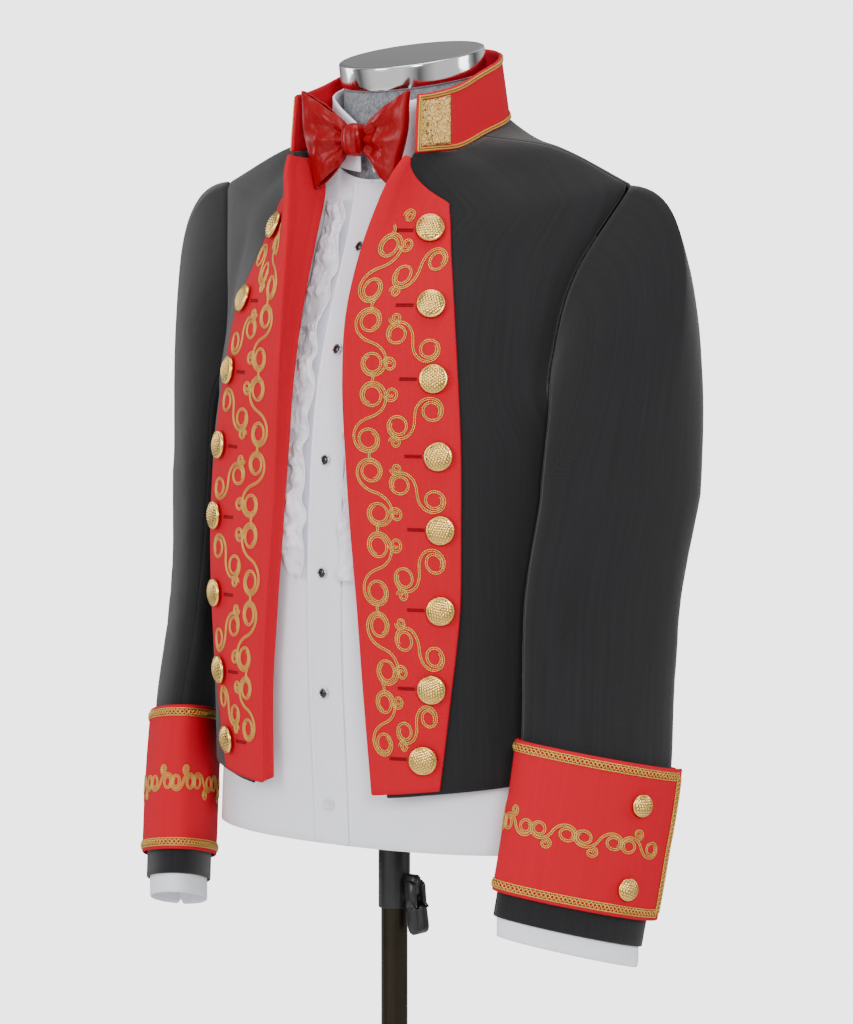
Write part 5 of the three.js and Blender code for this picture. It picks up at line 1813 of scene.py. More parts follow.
    def build(self) -> None:
        """Makes both fronts with all that is on them."""
        lapel = LapelMap()
        buttons = GiltButton(self.finishes, self.button_diameter)
        for side in Side:
            self.cloth(side)
            self.embroidery(side, lapel)
            self.buttonholes(side, lapel)
            for number, height in enumerate(LAPEL_BUTTON_HEIGHTS, 1):
                point, normal = Jacket.button_seat(height)
                node = f"button_{side.value}_{number}"
                buttons.sew(node, side.place(point), side.place(normal), spin=number * 1.3)


@dataclass
class GiltButton:
    """A domed gilt button covered with scales inside a plain rim."""

    finishes: Finishes
    diameter: float
    rings: int = 30
    sides: int = 84
    scale_width: float = 2.7
    relief: float = 0.42

    def dome(self) -> tuple[Shape, Array]:
        """The button about +Z, and how high each point stands in the scales' relief.

        The dome is a flat arch h (1 - (r / R)^2)^0.8; its scales are the cells of a brick pattern of circles,
        each highest at its middle; the back is plain.
        """
        r = self.diameter / 2
        share = np.linspace(0.012, 1, self.rings)
        angle = np.arange(self.sides) * TURN / self.sides
        ring, turn = mesh_grid(share * r * 0.97, angle)
        x, y = ring * np.cos(turn), ring * np.sin(turn)
        row = np.round(y / (self.scale_width * 0.72))
        best = np.full_like(x, 9.0)
        for step in (-1.0, 0.0, 1.0):
            line = row + step
            shift = np.where(np.mod(line, 2) > 0.5, 0.5, 0.0)
            column = np.round(x / self.scale_width - shift) + shift
            dx, dy = x - column * self.scale_width, y - line * self.scale_width * 0.72
            best = np.minimum(best, np.hypot(dx, dy * 1.15))
        mound = 1 - eased(best, self.scale_width * 0.2, self.scale_width * 0.56)
        rim = eased(ring / r, 0.84, 0.9)
        mound = mixed(mound, 0.75, rim)
        arch = 3.4 * (1 - np.clip(ring / (r * 0.9), 0, 1) ** 2) ** 0.8
        lip = 0.55 * np.exp(-(((ring / r - 0.92) / 0.035) ** 2))
        top = 3.3 + arch + mound * self.relief + lip - 1.4 * eased(ring / r, 0.93, 1.0)
        under = [(r, 2.0), (r * 0.86, 1.1), (r * 0.42, 0.5), (2.2, 0.3), (0.4, 0.3)]
        below = np.stack([
            np.stack([radius * np.cos(angle), radius * np.sin(angle), np.full_like(angle, h)], axis=-1)
            for radius, h in under
        ])
        rings = np.concatenate([np.stack([x, y, top], axis=-1), below])
        # The scales' relief, which the gilt finish turns into painted shade in the hollows.
        painted_light_share = np.concatenate([mound.ravel(), np.full(len(under) * self.sides, 0.6), [1.0, 0.6]])
        return ring_solid(rings), painted_light_share

    def sew(self, node: str, point: Array, normal: Array, spin: float) -> None:
        """Places one button for the frame's node."""
        shape, painted_light_share = self.dome()
        shape = seated(shape, point - unit(normal) * 0.4, normal, spin)
        put(f"gilt_{node}", shape, self.finishes.gilt, "gold", [node], attributes={"relief": painted_light_share})


# ---- sleeves, cuffs and collar -------------------------------------------------------------
@dataclass
class Sleeves:
    """The jacket's two-piece sleeves and the shirt's sleeves inside them."""

    finishes: Finishes
    front_seam: float = 0.3  # as a turn round the sleeve
    back_seam: float = 0.75
    gap: float = 0.0018
    rows: int = 104
    ease: float = 3.2  # air between the two sleeves
    drape: float = 1.15

    def panel(
        self, start: float, end: float, count: int, rows: int, head: float = 0.0
    ) -> tuple[Array, Array]:
        """A strip of the sleeve between two turns, draped, from depth head to the wrist."""
        depth = np.concatenate([np.linspace(head, 1, rows // 3)[:-1], np.linspace(1, 2, rows - rows // 3)])
        down, turn = mesh_grid(depth, np.linspace(start, end, count))
        grid = Arm.surface(turn, down)
        normals = grid_normals(grid, Arm.outside)
        calm = eased(down, 0.05, 0.45) * eased(2 - down, 0.22, 0.34)
        folds = crumple(grid * np.array([1.0, 1.0, 0.45]), 110, seed=21) * self.drape
        elbow = np.exp(-(((grid[..., 2] - 1035) / 60) ** 2))
        folds = folds + crumple(grid * np.array([0.5, 0.5, 1.0]), 85, seed=5, sharp=0.25) * 1.5 * elbow
        grid = grid + normals * (folds * calm)[..., None]
        return grid, grid_normals(grid, Arm.outside)

    def build(self) -> None:
        """Makes the outer and under pieces and the shirt's sleeves."""
        parts = {
            "outer": (self.back_seam - 1 + self.gap, self.front_seam - self.gap, 56, "sleeve_top"),
            "under": (self.front_seam + self.gap, self.back_seam - self.gap, 48, "sleeve_under"),
        }
        for side in Side:
            for name, (start, end, count, node) in parts.items():
                grid, normals = self.panel(start, end, count, self.rows)
                grid, normals = side.place(grid), side.place(normals)
                sheet = Sheet(grid, Held.HUNG, (f"shirt_arm_{side.value}",))
                shape = wall(grid, normals, SLEEVE_CLOTH)
                nodes = [f"{node}_{side.value}"]
                put(f"{name}_{side.value}", shape, self.finishes.wool, "wool", nodes, sheet=sheet)
            self.shirt_sleeve(side)

    def shirt_sleeve(self, side: Side) -> None:
        """The white sleeve, a tube inside the outer one from below its head to the wrist."""
        depth = np.concatenate([np.linspace(0.8, 1, 8)[:-1], np.linspace(1, 1.93, 40)])
        down, turn = mesh_grid(depth, np.arange(60) / 60)
        grid = Arm.surface(turn, down)
        normals = grid_normals(grid, Arm.outside, closed=True)
        inside = SLEEVE_CLOTH / 2 + self.ease + 0.6
        grid = grid - normals * inside
        grid, normals = side.place(grid), side.place(normals)
        sheet = Sheet(grid, Held.HUNG, ("form_torso",), closed=True)
        shape = wall(grid, normals, 1.2, closed=True)
        nodes = [f"shirt_sleeve_{side.value}"]
        put(f"shirt_arm_{side.value}", shape, self.finishes.cotton, "cotton", nodes, sheet=sheet)


@dataclass
class Cuffs:
    """Red turned-up cuffs with braid, scrolls and two buttons, over white shirt cuffs."""

    finishes: Finishes
    top: float = 942.0
    bottom: float = 822.0
    cloth: float = 2.2
    stand_off: float = 2.4
    vent_off: float = 3.5
    vent: float = 0.84  # turn of the vent's edge
    overlap: float = 0.03
    button_turn: float = 0.978
    button_heights: tuple[float, float] = (911.0, 844.0)
    button_diameter: float = 19.0
    braid_inset: float = 5.4  # from the cloth's edge to the braid's middle

    def spot(self, turn: Array, z: Array, lift: Array | float = 0.0) -> Array:
        """A point of the cuff's middle surface; it stands off more towards the vent."""
        turn, z = np.broadcast_arrays(np.asarray(turn, float), np.asarray(z, float))
        ring = Arm.ring(np.maximum(z, 801))
        ring["z"] = z
        away = np.abs(turn - np.floor(turn) - self.vent)
        away = np.minimum(away, 1 - away)
        off = SLEEVE_CLOTH / 2 + self.cloth / 2 + self.stand_off
        off = off + self.vent_off * np.maximum(0, 1 - away / 0.12) ** 2
        return Arm.oval(ring, turn, off + lift)

    def normal(self, turn: Array, z: Array) -> Array:
        """The cuff's outward normal, level as the seat of a button."""
        along = self.spot(turn + 0.01, z) - self.spot(turn - 0.01, z)
        normal = unit(np.cross(along, [0.0, 0.0, 1.0]))
        towards = self.spot(turn, z, 5.0) - self.spot(turn, z, 0.0)
        return normal * np.where(np.sum(normal * towards, axis=-1, keepdims=True) < 0, -1.0, 1.0)

    def strip(self) -> tuple[Array, Array]:
        """The cloth: from under the vent's edge, inwards and round by the front, to the edge on top.

        The under layer starts an overlap past the edge and lies its own cloth and a little air further in.
        """
        z, s = mesh_grid(np.linspace(self.bottom, self.top, 30), np.linspace(0, 1, 120))
        turn = mixed(self.vent - self.overlap, self.vent - 1, s)
        under = eased(turn, self.vent - 0.1, self.vent - self.overlap)
        upper = eased(self.vent - 0.96 - turn, 0.0, 0.04)
        lift = -1.7 * under + 0.9 * upper + crumple(np.stack([s * 330, z], axis=-1), 90, seed=31) * 0.35
        grid = self.spot(turn, z, lift)
        return grid, grid_normals(grid, Arm.outside)

    def braid_line(self, side: Side, points: Array, normals: Array) -> list[Shape]:
        """A flat braid along a line: two plaited cords between two straight ones.

        The plaited cords are sines along the line in opposite phase, each rising where it crosses over.
        """
        length = np.append(0, np.cumsum(np.linalg.norm(np.diff(points, axis=0), axis=1)))
        at = np.linspace(0, length[-1], int(length[-1] / 0.62))
        path = np.stack([np.interp(at, length, points[:, k]) for k in range(3)], axis=1)
        up = unit(np.stack([np.interp(at, length, normals[:, k]) for k in range(3)], axis=1))
        across = unit(np.cross(unit(np.gradient(path, axis=0)), up))
        phase = at * TURN / 7.2
        shapes = []
        for sign in (1.0, -1.0):
            sway, rise = np.sin(phase) * 1.75 * sign, 0.75 + 0.35 * np.cos(phase) * sign
            line = path + across * sway[:, None] + up * rise[:, None]
            shapes.append(swept(side.place(line), side.place(up), round_section(1.25, 1.0, 6), taper=1.0))
        for offset in (-2.95, 2.95):
            line = (path + across * offset + up * 0.5)[::2]
            shapes.append(swept(side.place(line), side.place(up[::2]), round_section(1.15, 1.0, 6), taper=1.0))
        return shapes

    def surface_at(self, share: Array, z: Array, grid: Array) -> tuple[Array, Array]:
        """A point of the cloth's outer face at a share along the strip and a height, and its normal."""
        rows, count = grid.shape[:2]
        normals = grid_normals(grid, Arm.outside)
        row = (z - self.bottom) / (self.top - self.bottom) * (rows - 1)
        column = share * (count - 1)
        up = unit(between(normals, row, column))
        return between(grid, row, column) + up * self.cloth / 2, up

    def braid(self, side: Side, grid: Array) -> None:
        """Braid along the top, down the vent's edge and along the bottom."""
        girth = float(arc_lengths(grid, 1)[:, -1].mean())
        inset = self.braid_inset / girth
        high, low = self.top - self.braid_inset, self.bottom + self.braid_inset
        shapes = []
        for z in (high, low):
            share = np.linspace(0.05, 1 - inset, 280)
            shapes += self.braid_line(side, *self.surface_at(share, z + 0 * share, grid))
        z = np.linspace(low, high, 88)
        shapes += self.braid_line(side, *self.surface_at(0 * z + 1 - inset, z, grid))
        put(f"braid_{side.value}", joined(shapes), self.finishes.thread, "gold_cloth")

    def scrolls(self, side: Side, grid: Array) -> None:
        """A row of S scrolls round the middle, in couched double cord.

        Each unit has two scrolls and their curls, and every other unit is turned upside down.
        """
        girth = float(arc_lengths(grid, 1)[:, -1].mean())
        middle = (self.top + self.bottom) / 2 - 4
        shapes = []
        unit_length, first = BUTTON_PITCH, 24.0
        for number in range(int((girth - 40) / unit_length)):
            turned = 1.0 if number % 2 else -1.0
            start = girth - first - number * unit_length
            for line in TurnedFronts.garland():
                x, z = TurnedFronts.evenly(start - line[:, 0], middle + line[:, 1] * turned)
                path, up = self.surface_at(x / girth, z, grid)
                shapes += TurnedFronts.couched(side, path + up * 0.1, up, 1.5, 1.0)
        put(f"cuff_scrolls_{side.value}", joined(shapes), self.finishes.thread, "gold_cloth")

    def shirt_cuff(self, side: Side) -> None:
        """The white cuff below the sleeve, with soft corners at its own vent."""
        z, s = mesh_grid(np.linspace(784, 836, 16), np.linspace(0, 1, 110))
        turn = mixed(self.vent + 0.012, self.vent - 1 - 0.004, s)
        ring = Arm.ring(np.maximum(z, 801))
        ring["z"] = z
        under = eased(turn, self.vent - 0.08, self.vent - 0.01)
        grid = Arm.oval(ring, turn, -(SLEEVE_CLOTH / 2 + 0.9 + 0.8) - 2.3 * under)
        corner = np.maximum(eased(s, 0.975, 1.0), eased(1 - s, 0.975, 1.0)) * eased(800 - z, 0.0, 16.0)
        grid[..., 2] += corner * 5
        grid, normals = side.place(grid), side.place(grid_normals(grid, Arm.outside))
        sheet = Sheet(grid, Held.HUNG, (f"shirt_arm_{side.value}",))
        shape = wall(grid, normals, 1.6)
        nodes = [f"shirt_cuff_{side.value}"]
        put(f"white_cuff_{side.value}", shape, self.finishes.cotton, "cotton", nodes, sheet=sheet)

    def build(self) -> None:
        """Makes both cuffs with all that is on them."""
        grid, _ = self.strip()
        button = GiltButton(self.finishes, self.button_diameter)
        for side in Side:
            placed = side.place(grid)
            normals = side.place(grid_normals(grid, Arm.outside))
            sheet = Sheet(placed, Held.HUNG, (f"outer_{side.value}",))
            shape = wall(placed, normals, self.cloth)
            nodes = [f"cuff_{side.value}"]
            put(f"red_cuff_{side.value}", shape, self.finishes.red, "red_cloth", nodes, sheet=sheet)
            self.braid(side, grid)
            self.scrolls(side, grid)
            self.shirt_cuff(side)
            for number, z in enumerate(self.button_heights, 1):
                turn = np.array(self.button_turn)
                normal = self.normal(turn, np.array(z))
                point = self.spot(turn, np.array(z)) + normal * (self.cloth / 2 + 0.3)
                node = f"cuff_button_{side.value}_{number}"
                button.sew(node, side.place(point), side.place(normal), spin=number * 0.9)


@dataclass
class Collar:
    """The red stand collar: gold piping round its outside, a glittering patch at each end."""

    finishes: Finishes
    cloth: float = 2.6
    columns: int = 190
    rows: int = 22
    patch_start: float = 3.0
    patch_length: float = 33.0

    @staticmethod
    def rows_of(stations: dict[str, Array], columns: int, rows: int, reach: float = 1.0) -> Array:
        """A stand collar's grid between its seam and its top edge.

        Args:
            stations: the table from the front end to the centre back.
            columns: points along it.
            rows: points up it.
            reach: how near to the front ends it runs.

        Returns:
            The grid from the seam up.
        """
        last = len(stations["seam"]) - 1
        h, a = mesh_grid(np.linspace(0, 1, rows), np.linspace(-reach, reach, columns))
        at = (1 - np.abs(a)) * last
        point = mixed(smooth(stations["seam"], at), smooth(stations["top"], at), h[..., None])
        return np.where(a[..., None] < 0, Side.RIGHT.place(point), point)

    @staticmethod
    def away(points: Array) -> Array:
        """A vector away from the neck's axis."""
        return (points - [0.0, 28.0, 0.0]) * np.array([1.0, 1.0, 0.0])

    def piping(self, grid: Array, normals: Array) -> None:
        """Two cords along the top edge, down both front ends and along the seam."""
        outer = grid + normals * (self.cloth / 2)
        shapes = []
        for inset, width in ((1.1, 1.7), (3.1, 1.5)):
            height = float(arc_lengths(grid, 0)[-1].mean())
            length = arc_lengths(grid, 1)[0]
            h0 = inset / height
            ends = np.interp([inset, length[-1] - inset], length, np.arange(grid.shape[1]))
            across = np.linspace(ends[0], ends[1], 350)
            up = np.linspace(h0, 1 - h0, 40)[1:-1]
            first, last = (np.full_like(up, end) for end in ends)
            column = np.concatenate([across, last, across[::-1], first])
            row = np.concatenate([0 * across + h0, up, 0 * across + 1 - h0, up[::-1]]) * (grid.shape[0] - 1)
            path = between(outer, row, column)
            away = unit(between(normals, row, column))
            shapes.append(swept(path + away * width * 0.3, away, round_section(width, width, 7), looped=True))
        put("collar_piping", joined(shapes), self.finishes.thread, "gold_cloth")

    def patch(self, side: Side, grid: Array, normals: Array) -> None:
        """The glittering patch near one front end."""
        length = arc_lengths(grid, 1)[0]
        near = length[-1] - self.patch_start
        distance = np.linspace(near - self.patch_length, near, 26)
        up = np.linspace(0.1, 0.9, 20) * (grid.shape[0] - 1)
        row, column = mesh_grid(up, np.interp(distance, length, np.arange(len(length))))
        out = unit(between(normals, row, column))
        points = between(grid, row, column) + out * (self.cloth / 2 + 0.5)
        sheet = Sheet(side.place(points), Held.STRETCHED, ("red_collar",))
        shape = wall(side.place(points), side.place(out), 0.9)
        nodes = [f"collar_patch_{side.value}"]
        put(f"glitter_{side.value}", shape, self.finishes.glitter, "gold_cloth", nodes, sheet=sheet)

    def build(self) -> None:
        """Makes the red collar and the white one inside it."""
        grid = self.rows_of(COLLAR_STATIONS, self.columns, self.rows)
        normals = grid_normals(grid, self.away)
        soft = crumple(grid * np.array([1.0, 1.0, 0.6]), 90, seed=8) * 0.45
        grid = grid + normals * soft[..., None]
        sheet = Sheet(grid, Held.STRETCHED, ("back", "front_left", "front_right"))
        shape = wall(grid, normals, self.cloth)
        put("red_collar", shape, self.finishes.red, "red_cloth", ["collar"], sheet=sheet)
        self.piping(grid, normals)
        for side in Side:
            self.patch(side, grid, normals)
        white = self.rows_of(SHIRT_COLLAR_STATIONS, 130, 12)
        out = grid_normals(white, self.away)
        sheet = Sheet(white, Held.STRETCHED, ("form_torso",))
        shape = wall(white, out, 2.0)
        put("white_collar", shape, self.finishes.cotton, "cotton", ["shirt_collar"], sheet=sheet)


# ---- shirt and bow tie ---------------------------------------------------------------------
@dataclass
class Shirt:
    """The white shirt: fronts, back, placket, gathered bib, studs and its one button."""

    finishes: Finishes
    cloth: float = 1.2
    ease: float = 2.3
    side_gap: float = 0.006  # radians
    shoulder_gap: float = 0.022
    placket_half: float = 17.0
    placket_bottom: float = 858.0
    placket_top: float = 1401.0
    bib_inner: float = 19.5
    bib_outer: float = 46.0
    bib_bottom: float = 1078.0
    bib_top: float = 1386.0
    bib_depth: float = 8.0
    stud_heights: tuple[float, ...] = (1347.0, 1264.0, 1175.0, 1083.0, 984.0)
    button_height: float = 891.0

    def arm(self, key: str, t: Array) -> Array:
        """The angle at which the front or the back ends, in radians."""
        return np.radians(smooth(FORM_RINGS[key], t))

    def body(self, name: str, angle: Array, t: Array, node: str) -> None:
        """One panel of the shirt, standing off the form by its ease."""
        grid = Form.point(angle, t)
        normals = surface_normal(Form.point, angle, t, grid - [0.0, 15.0, 0.0])
        middle = grid + normals * (self.ease + self.cloth / 2)
        front = eased(-grid[..., 1], 20, 60) * eased(grid[..., 2], 880, 960)
        front = front * eased(1390 - grid[..., 2], 0, 70)
        pulled = crumple(grid * np.array([1.0, 0.3, 0.8]), 95, seed=14, sharp=0.25) * 0.75
        pulled = pulled * (0.35 + 0.65 * front)
        calm = eased(1400 - grid[..., 2], 0, 30) * eased(t, 0.0, 0.6)
        middle = middle + normals * (pulled * calm)[..., None]
        normals = grid_normals(middle, lambda p: p - [0.0, 15.0, 0.0])
        sheet = Sheet(middle, Held.HUNG, ("form_torso",))
        put(name, wall(middle, normals, self.cloth), self.finishes.cotton, "cotton", [node], sheet=sheet)

    def panels(self) -> None:
        """Two fronts and a back."""
        levels = np.linspace(0, SHIRT_TOP, 84)
        gap = np.where(levels > 8, self.shoulder_gap, self.side_gap)[:, None]
        share = np.linspace(0, 1, 72)[None]
        t = np.broadcast_to(levels[:, None], (84, 72))
        end = self.arm("armFront", levels)[:, None] - gap
        angle = self.side_gap + (end - self.side_gap) * share
        for side, sign in ((Side.LEFT, 1.0), (Side.RIGHT, -1.0)):
            self.body(f"shirt_{side.value}", angle * sign, t, f"shirt_front_{side.value}")
        share = np.linspace(0, 1, 80)[None]
        start = self.arm("armBack", levels)[:, None] + gap
        angle = start + (TURN - 2 * start) * share
        self.body("shirt_rear", angle, np.broadcast_to(levels[:, None], (84, 80)), "shirt_back")

    def placket(self) -> None:
        """The front band, stitched down both edges."""
        z, a = mesh_grid(np.linspace(self.placket_bottom, self.placket_top, 112), np.linspace(-1, 1, 32))
        x = a * self.placket_half
        stitch = np.exp(-(((np.abs(x) - self.placket_half + 3.2) / 0.8) ** 2)) * 0.35
        soft = crumple(np.stack([x * 1.3, z * 0.7], axis=-1), 80, seed=3, sharp=0.2) * 0.55
        points, normals = Form.on_shirt(x + 0.001, z, 1.3 + soft - stitch)
        grid_out = grid_normals(points, lambda p: np.array([0.0, -1.0, 0.1]) + 0 * p)
        sheet = Sheet(points, Held.HUNG, ("shirt_left", "shirt_right"))
        shape = wall(points, grid_out, 1.6)
        put("front_band", shape, self.finishes.cotton, "cotton", ["placket"], sheet=sheet)

    def bib(self, side: Side, index: int) -> None:
        """The gathered bib on one side of the placket.

        Its height off the shirt is depth * (1 - 0.45 a)(0.7 g + d + 0.3), with g the gathers' sine along the
        height and d a slow drift, and crossed by finer creases.
        """
        w, a = mesh_grid(np.linspace(0, 1, 236), np.linspace(0, 1, 38))
        z = mixed(self.bib_bottom, self.bib_top, w)
        rounded = np.sqrt(np.maximum(0, 1 - np.maximum(0, 1 - w / 0.07) ** 2))
        outer = mixed(self.bib_inner + 12, self.bib_outer, rounded)
        gather = (TURN * (w * 9 + 0.22 * a) + index * 1.7 + 0.7 * np.sin(w * 31 + index))
        gather = (0.5 + 0.5 * np.sin(gather)) ** 1.25
        drift = 0.3 * np.sin(19 * w + 2 * index + 3 * a)
        place = np.stack([a * 27 + w * 8, w * 308], axis=-1)
        crease = crumple(place @ np.array([[0.9, -0.5], [0.5, 1.4]]), 40, seed=60 + index, sharp=0.8)
        fine = crumple(place @ np.array([[1.0, 0.4], [-0.3, 1.3]]), 15, seed=80 + index, sharp=0.6)
        depth = self.bib_depth * (1 - 0.45 * a) * (0.7 * gather + drift + 0.3)
        edge = eased(a, 0.0, 0.12) * eased(1 - a, 0.0, 0.1) * eased(w, 0.0, 0.02)
        depth = np.maximum(depth + (crease * 3.4 + fine * 1.0) * edge, 0.1)
        depth = depth * mixed(0.35, 1.0, eased(1 - a, 0.0, 0.12))
        points, _ = Form.on_shirt(mixed(self.bib_inner, outer, a), z, 0.9 + depth)
        points[..., 0] += crease * 1.1 * edge
        normals = grid_normals(points, lambda p: np.array([0.0, -1.0, 0.2]) + 0 * p)
        points, normals = side.place(points), side.place(normals)
        sheet = Sheet(points, Held.GATHERED, (f"shirt_{side.value}",))
        shape = wall(points, normals, 1.0)
        put(f"bib_{side.value}", shape, self.finishes.cotton, "cotton", [f"ruffle_{side.value}"], sheet=sheet)

    def studs(self) -> None:
        """Black studs in bright rings, and one white button below them."""
        inlay = [(0.02, 0.0), (3.6, 0.0), (3.6, 1.9), (3.2, 2.35), (2.2, 2.8), (0.9, 3.05), (0.02, 3.1)]
        angle = np.arange(40) * TURN / 40
        rings = []
        for number, z in enumerate(self.stud_heights, 1):
            point, normal = Form.on_shirt(np.array(0.01), np.array(z), 2.4)
            shape = seated(revolved(inlay, 40), point, normal)
            put(f"inlay_{number}", shape, self.finishes.onyx, "onyx", [f"stud_{number}"])
            hoop = np.stack([np.cos(angle) * 3.95, np.sin(angle) * 3.95, 0 * angle + 1.7], axis=1)
            up = np.stack([0 * angle, 0 * angle, 0 * angle + 1], axis=1)
            band = swept(hoop, up, round_section(1.15, 1.9, 10, -0.2), looped=True)
            rings.append(seated(band, point, normal))
        put("stud_rings", joined(rings), self.finishes.ring, "chrome")
        point, normal = Form.on_shirt(np.array(0.01), np.array(self.button_height), 2.4)
        profile = [(0.02, 0.2), (4.4, 0.0), (5.0, 0.7), (4.9, 1.6), (4.3, 2.1), (3.5, 1.9), (2.9, 1.5)]
        shape = seated(revolved([*profile, (0.02, 1.4)], 48), point, normal)
        put("white_button", shape, self.finishes.pearl, "pearl", ["shirt_button"])

    def build(self) -> None:
        """Makes the shirt."""
        self.panels()
        self.placket()
        for index, side in enumerate(Side):
            self.bib(side, index)
        self.studs()


@dataclass
class BowTie:
    """A soft satin butterfly bow: each wing a folded strip, gathered into the knot."""

    finishes: Finishes
    y: float = -51.2
    z: float = 1437.0
    start: float = 10.9
    end: float = 49.0
    slant: float = 8.0
    inner_height: float = 24.0
    outer_height: float = 78.0
    puff: float = 6.5
    layer_gap: float = 2.2
    cloth: float = 1.6
    pleats: int = 3
    pleat_depth: float = 2.2

    def wing(self, side: Side) -> None:
        """One wing: out from the knot behind, over at the end and back in front.

        s runs from -1 behind to 1 in front and q from the lower edge to the upper; the pleats are a cosine of q
        that fades from the knot outwards, and the fold at the end is rounded.
        """
        s_values = np.sign(np.linspace(-1, 1, 99)) * np.abs(np.linspace(-1, 1, 99)) ** 1.15
        s, q = mesh_grid(s_values, np.linspace(-1, 1, 70))
        out = 1 - np.abs(s) ** 1.7
        edge = 0.035 * np.sin(q * 4.1 + 1.0) * out
        half = mixed(self.inner_height, self.outer_height, out**0.8) / 2
        reach = mixed(self.start, self.end + self.slant * q, out + edge)
        swell = np.sin(math.pi * np.minimum(1, (1 - out) * 1.25 + 0.06)) ** 0.6
        round_end = np.minimum(1, np.abs(s) / 0.12) ** 0.5
        puff = mixed(self.layer_gap, self.puff, swell) * np.sign(s) * round_end
        fade = (1 - out) ** 0.7
        pleat = np.cos(q * math.pi * self.pleats) * self.pleat_depth * fade
        place = np.stack([out * 45, q * 40 + 90 * (s > 0)], axis=-1)
        soft = crumple(place, 60, seed=17, sharp=0.3) * 2.8 * np.sin(math.pi * np.clip(1 - out, 0, 1)) ** 0.7
        ray = np.sin(q * 8.0 + 2.6 * out + 0.8) * 1.7 * fade * out**0.4
        depth = puff * (1 - 0.35 * q * q) + 0.6 * pleat + (soft * 0.9 + ray) * np.sign(s) * round_end
        height = self.z + half * q * (1 - 0.02 * np.cos(3 * q) * out)
        points = np.stack([reach, self.y - depth, height], axis=-1)
        normals = grid_normals(points, lambda p: np.stack([0 * s, -np.sign(s), 0 * s], axis=-1))
        points, normals = side.place(points), side.place(normals)
        sheet = Sheet(points, Held.FOLDED, ("tie_knot",))
        shape = wall(points, normals, self.cloth)
        put(f"wing_{side.value}", shape, self.finishes.satin, "satin", [f"bow_wing_{side.value}"], sheet=sheet)

    def knot(self) -> None:
        """The knot, a rounded box of gathered satin."""
        h, angle = mesh_grid(np.linspace(-0.985, 0.985, 54), np.arange(80) * TURN / 80)
        swell = (1 - np.abs(h) ** 2.6) ** 0.4

        def box(v: Array) -> Array:
            """The value drawn out towards a square."""
            return np.sign(v) * np.abs(v) ** 0.7

        folds = np.sin(angle * 11 + h * 2.2 + 0.8 * np.sin(3 * angle)) * 0.35
        folds = folds + crumple(np.stack([angle * 11, h * 9], axis=-1), 22, seed=6, sharp=0.5) * 0.7
        squeeze = 1 + (folds - 0.5) / 12
        x = 10 * swell * box(np.cos(angle)) * squeeze
        y = self.y + 12 * swell * box(np.sin(angle)) * squeeze
        rings = np.stack([x, y, self.z + 14 * h], axis=-1)
        knot = put("tie_knot", ring_solid(rings), self.finishes.satin, "satin", ["bow_knot"])
        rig.padded(knot)

    def build(self) -> None:
        """Makes both wings and the knot."""
        self.knot()
        for side in Side:
            self.wing(side)


# ---- dress form and stand ------------------------------------------------------------------
@dataclass
class DressForm:
    """The grey form with its chrome neck cap."""

    finishes: Finishes
    columns: int = 96
    bore_radius: float = 14.2
    bore_top: float = 1284.0
    gap: float = 0.3

    def neck(self, sides: int) -> tuple[Array, Array, float]:
        """The level-cut neck edge, its centre and its tilt."""
        last = len(FORM_RINGS["half"]) - 1
        front, back = FORM_RINGS["zFront"][-1], FORM_RINGS["zBack"][-1]
        tilt = math.atan2(back - front, FORM_RINGS["yBack"][-1] - FORM_RINGS["yFront"][-1])
        centre = np.array([0.0, FORM_RINGS["yMid"][-1], (front + back) / 2])
        edge = Form.point(np.arange(sides) * TURN / sides, np.full(sides, float(last)))
        edge[:, 2] = centre[2] + (edge[:, 1] - centre[1]) * math.tan(tilt)
        return edge, centre, tilt

    def torso(self) -> None:
        """The body, with the bore for the pole."""
        angle = np.arange(self.columns) * TURN / self.columns
        edge, _, _ = self.neck(self.columns)
        last = len(FORM_RINGS["half"]) - 1
        levels = np.linspace(0, last, 60)[:-1]
        t, a = mesh_grid(levels, angle)
        outer = Form.point(a, t)
        around = np.stack([np.sin(angle), -np.cos(angle)], axis=1) * self.bore_radius
        bottom = FORM_RINGS["zFront"][0]
        bore = [np.column_stack([around, np.full(self.columns, h)]) for h in (self.bore_top, bottom)]
        rim = outer[0] * np.array([0.985, 0.985, 1.0])
        rings = np.concatenate([np.stack([*bore, rim]), outer, edge[None]])
        put("torso", ring_solid(rings), self.finishes.jersey, "heather", ["form_torso"])

    def cap(self) -> None:
        """The cap: its rounded profile grown about the neck's centre, along the tilted axis."""
        corners = [
            (0.93, 0.0), (1.022, 0.0), (1.034, 1.2), (1.034, 18.4), (1.03, 19.4), (1.012, 20.0), (0.95, 20.0),
        ]
        edge, centre, tilt = self.neck(128)
        up = np.array([0.0, -math.sin(tilt), math.cos(tilt)])
        profile = np.array(corners)
        body = np.linspace(1.2, 18.4, 6)[1:-1]
        crown = 0.0035 * np.sin((body - 1.2) / 17.2 * math.pi)
        profile = np.concatenate([profile[:3], np.stack([1.034 + crown, body], axis=1), profile[3:]])
        dome = [(share, 20.0 + 1.2 * (1 - share**2)) for share in (0.85, 0.6, 0.3, 0.05)]
        profile = np.concatenate([profile, np.array(dome) - [0.0, 0.15]])
        rings = np.stack([(edge - centre) * grow + centre + up * (h + self.gap) for grow, h in profile])
        put("chrome_cap", ring_solid(rings), self.finishes.chrome, "chrome", ["neck_cap"])

    def build(self) -> None:
        """Makes the form."""
        self.torso()
        self.cap()


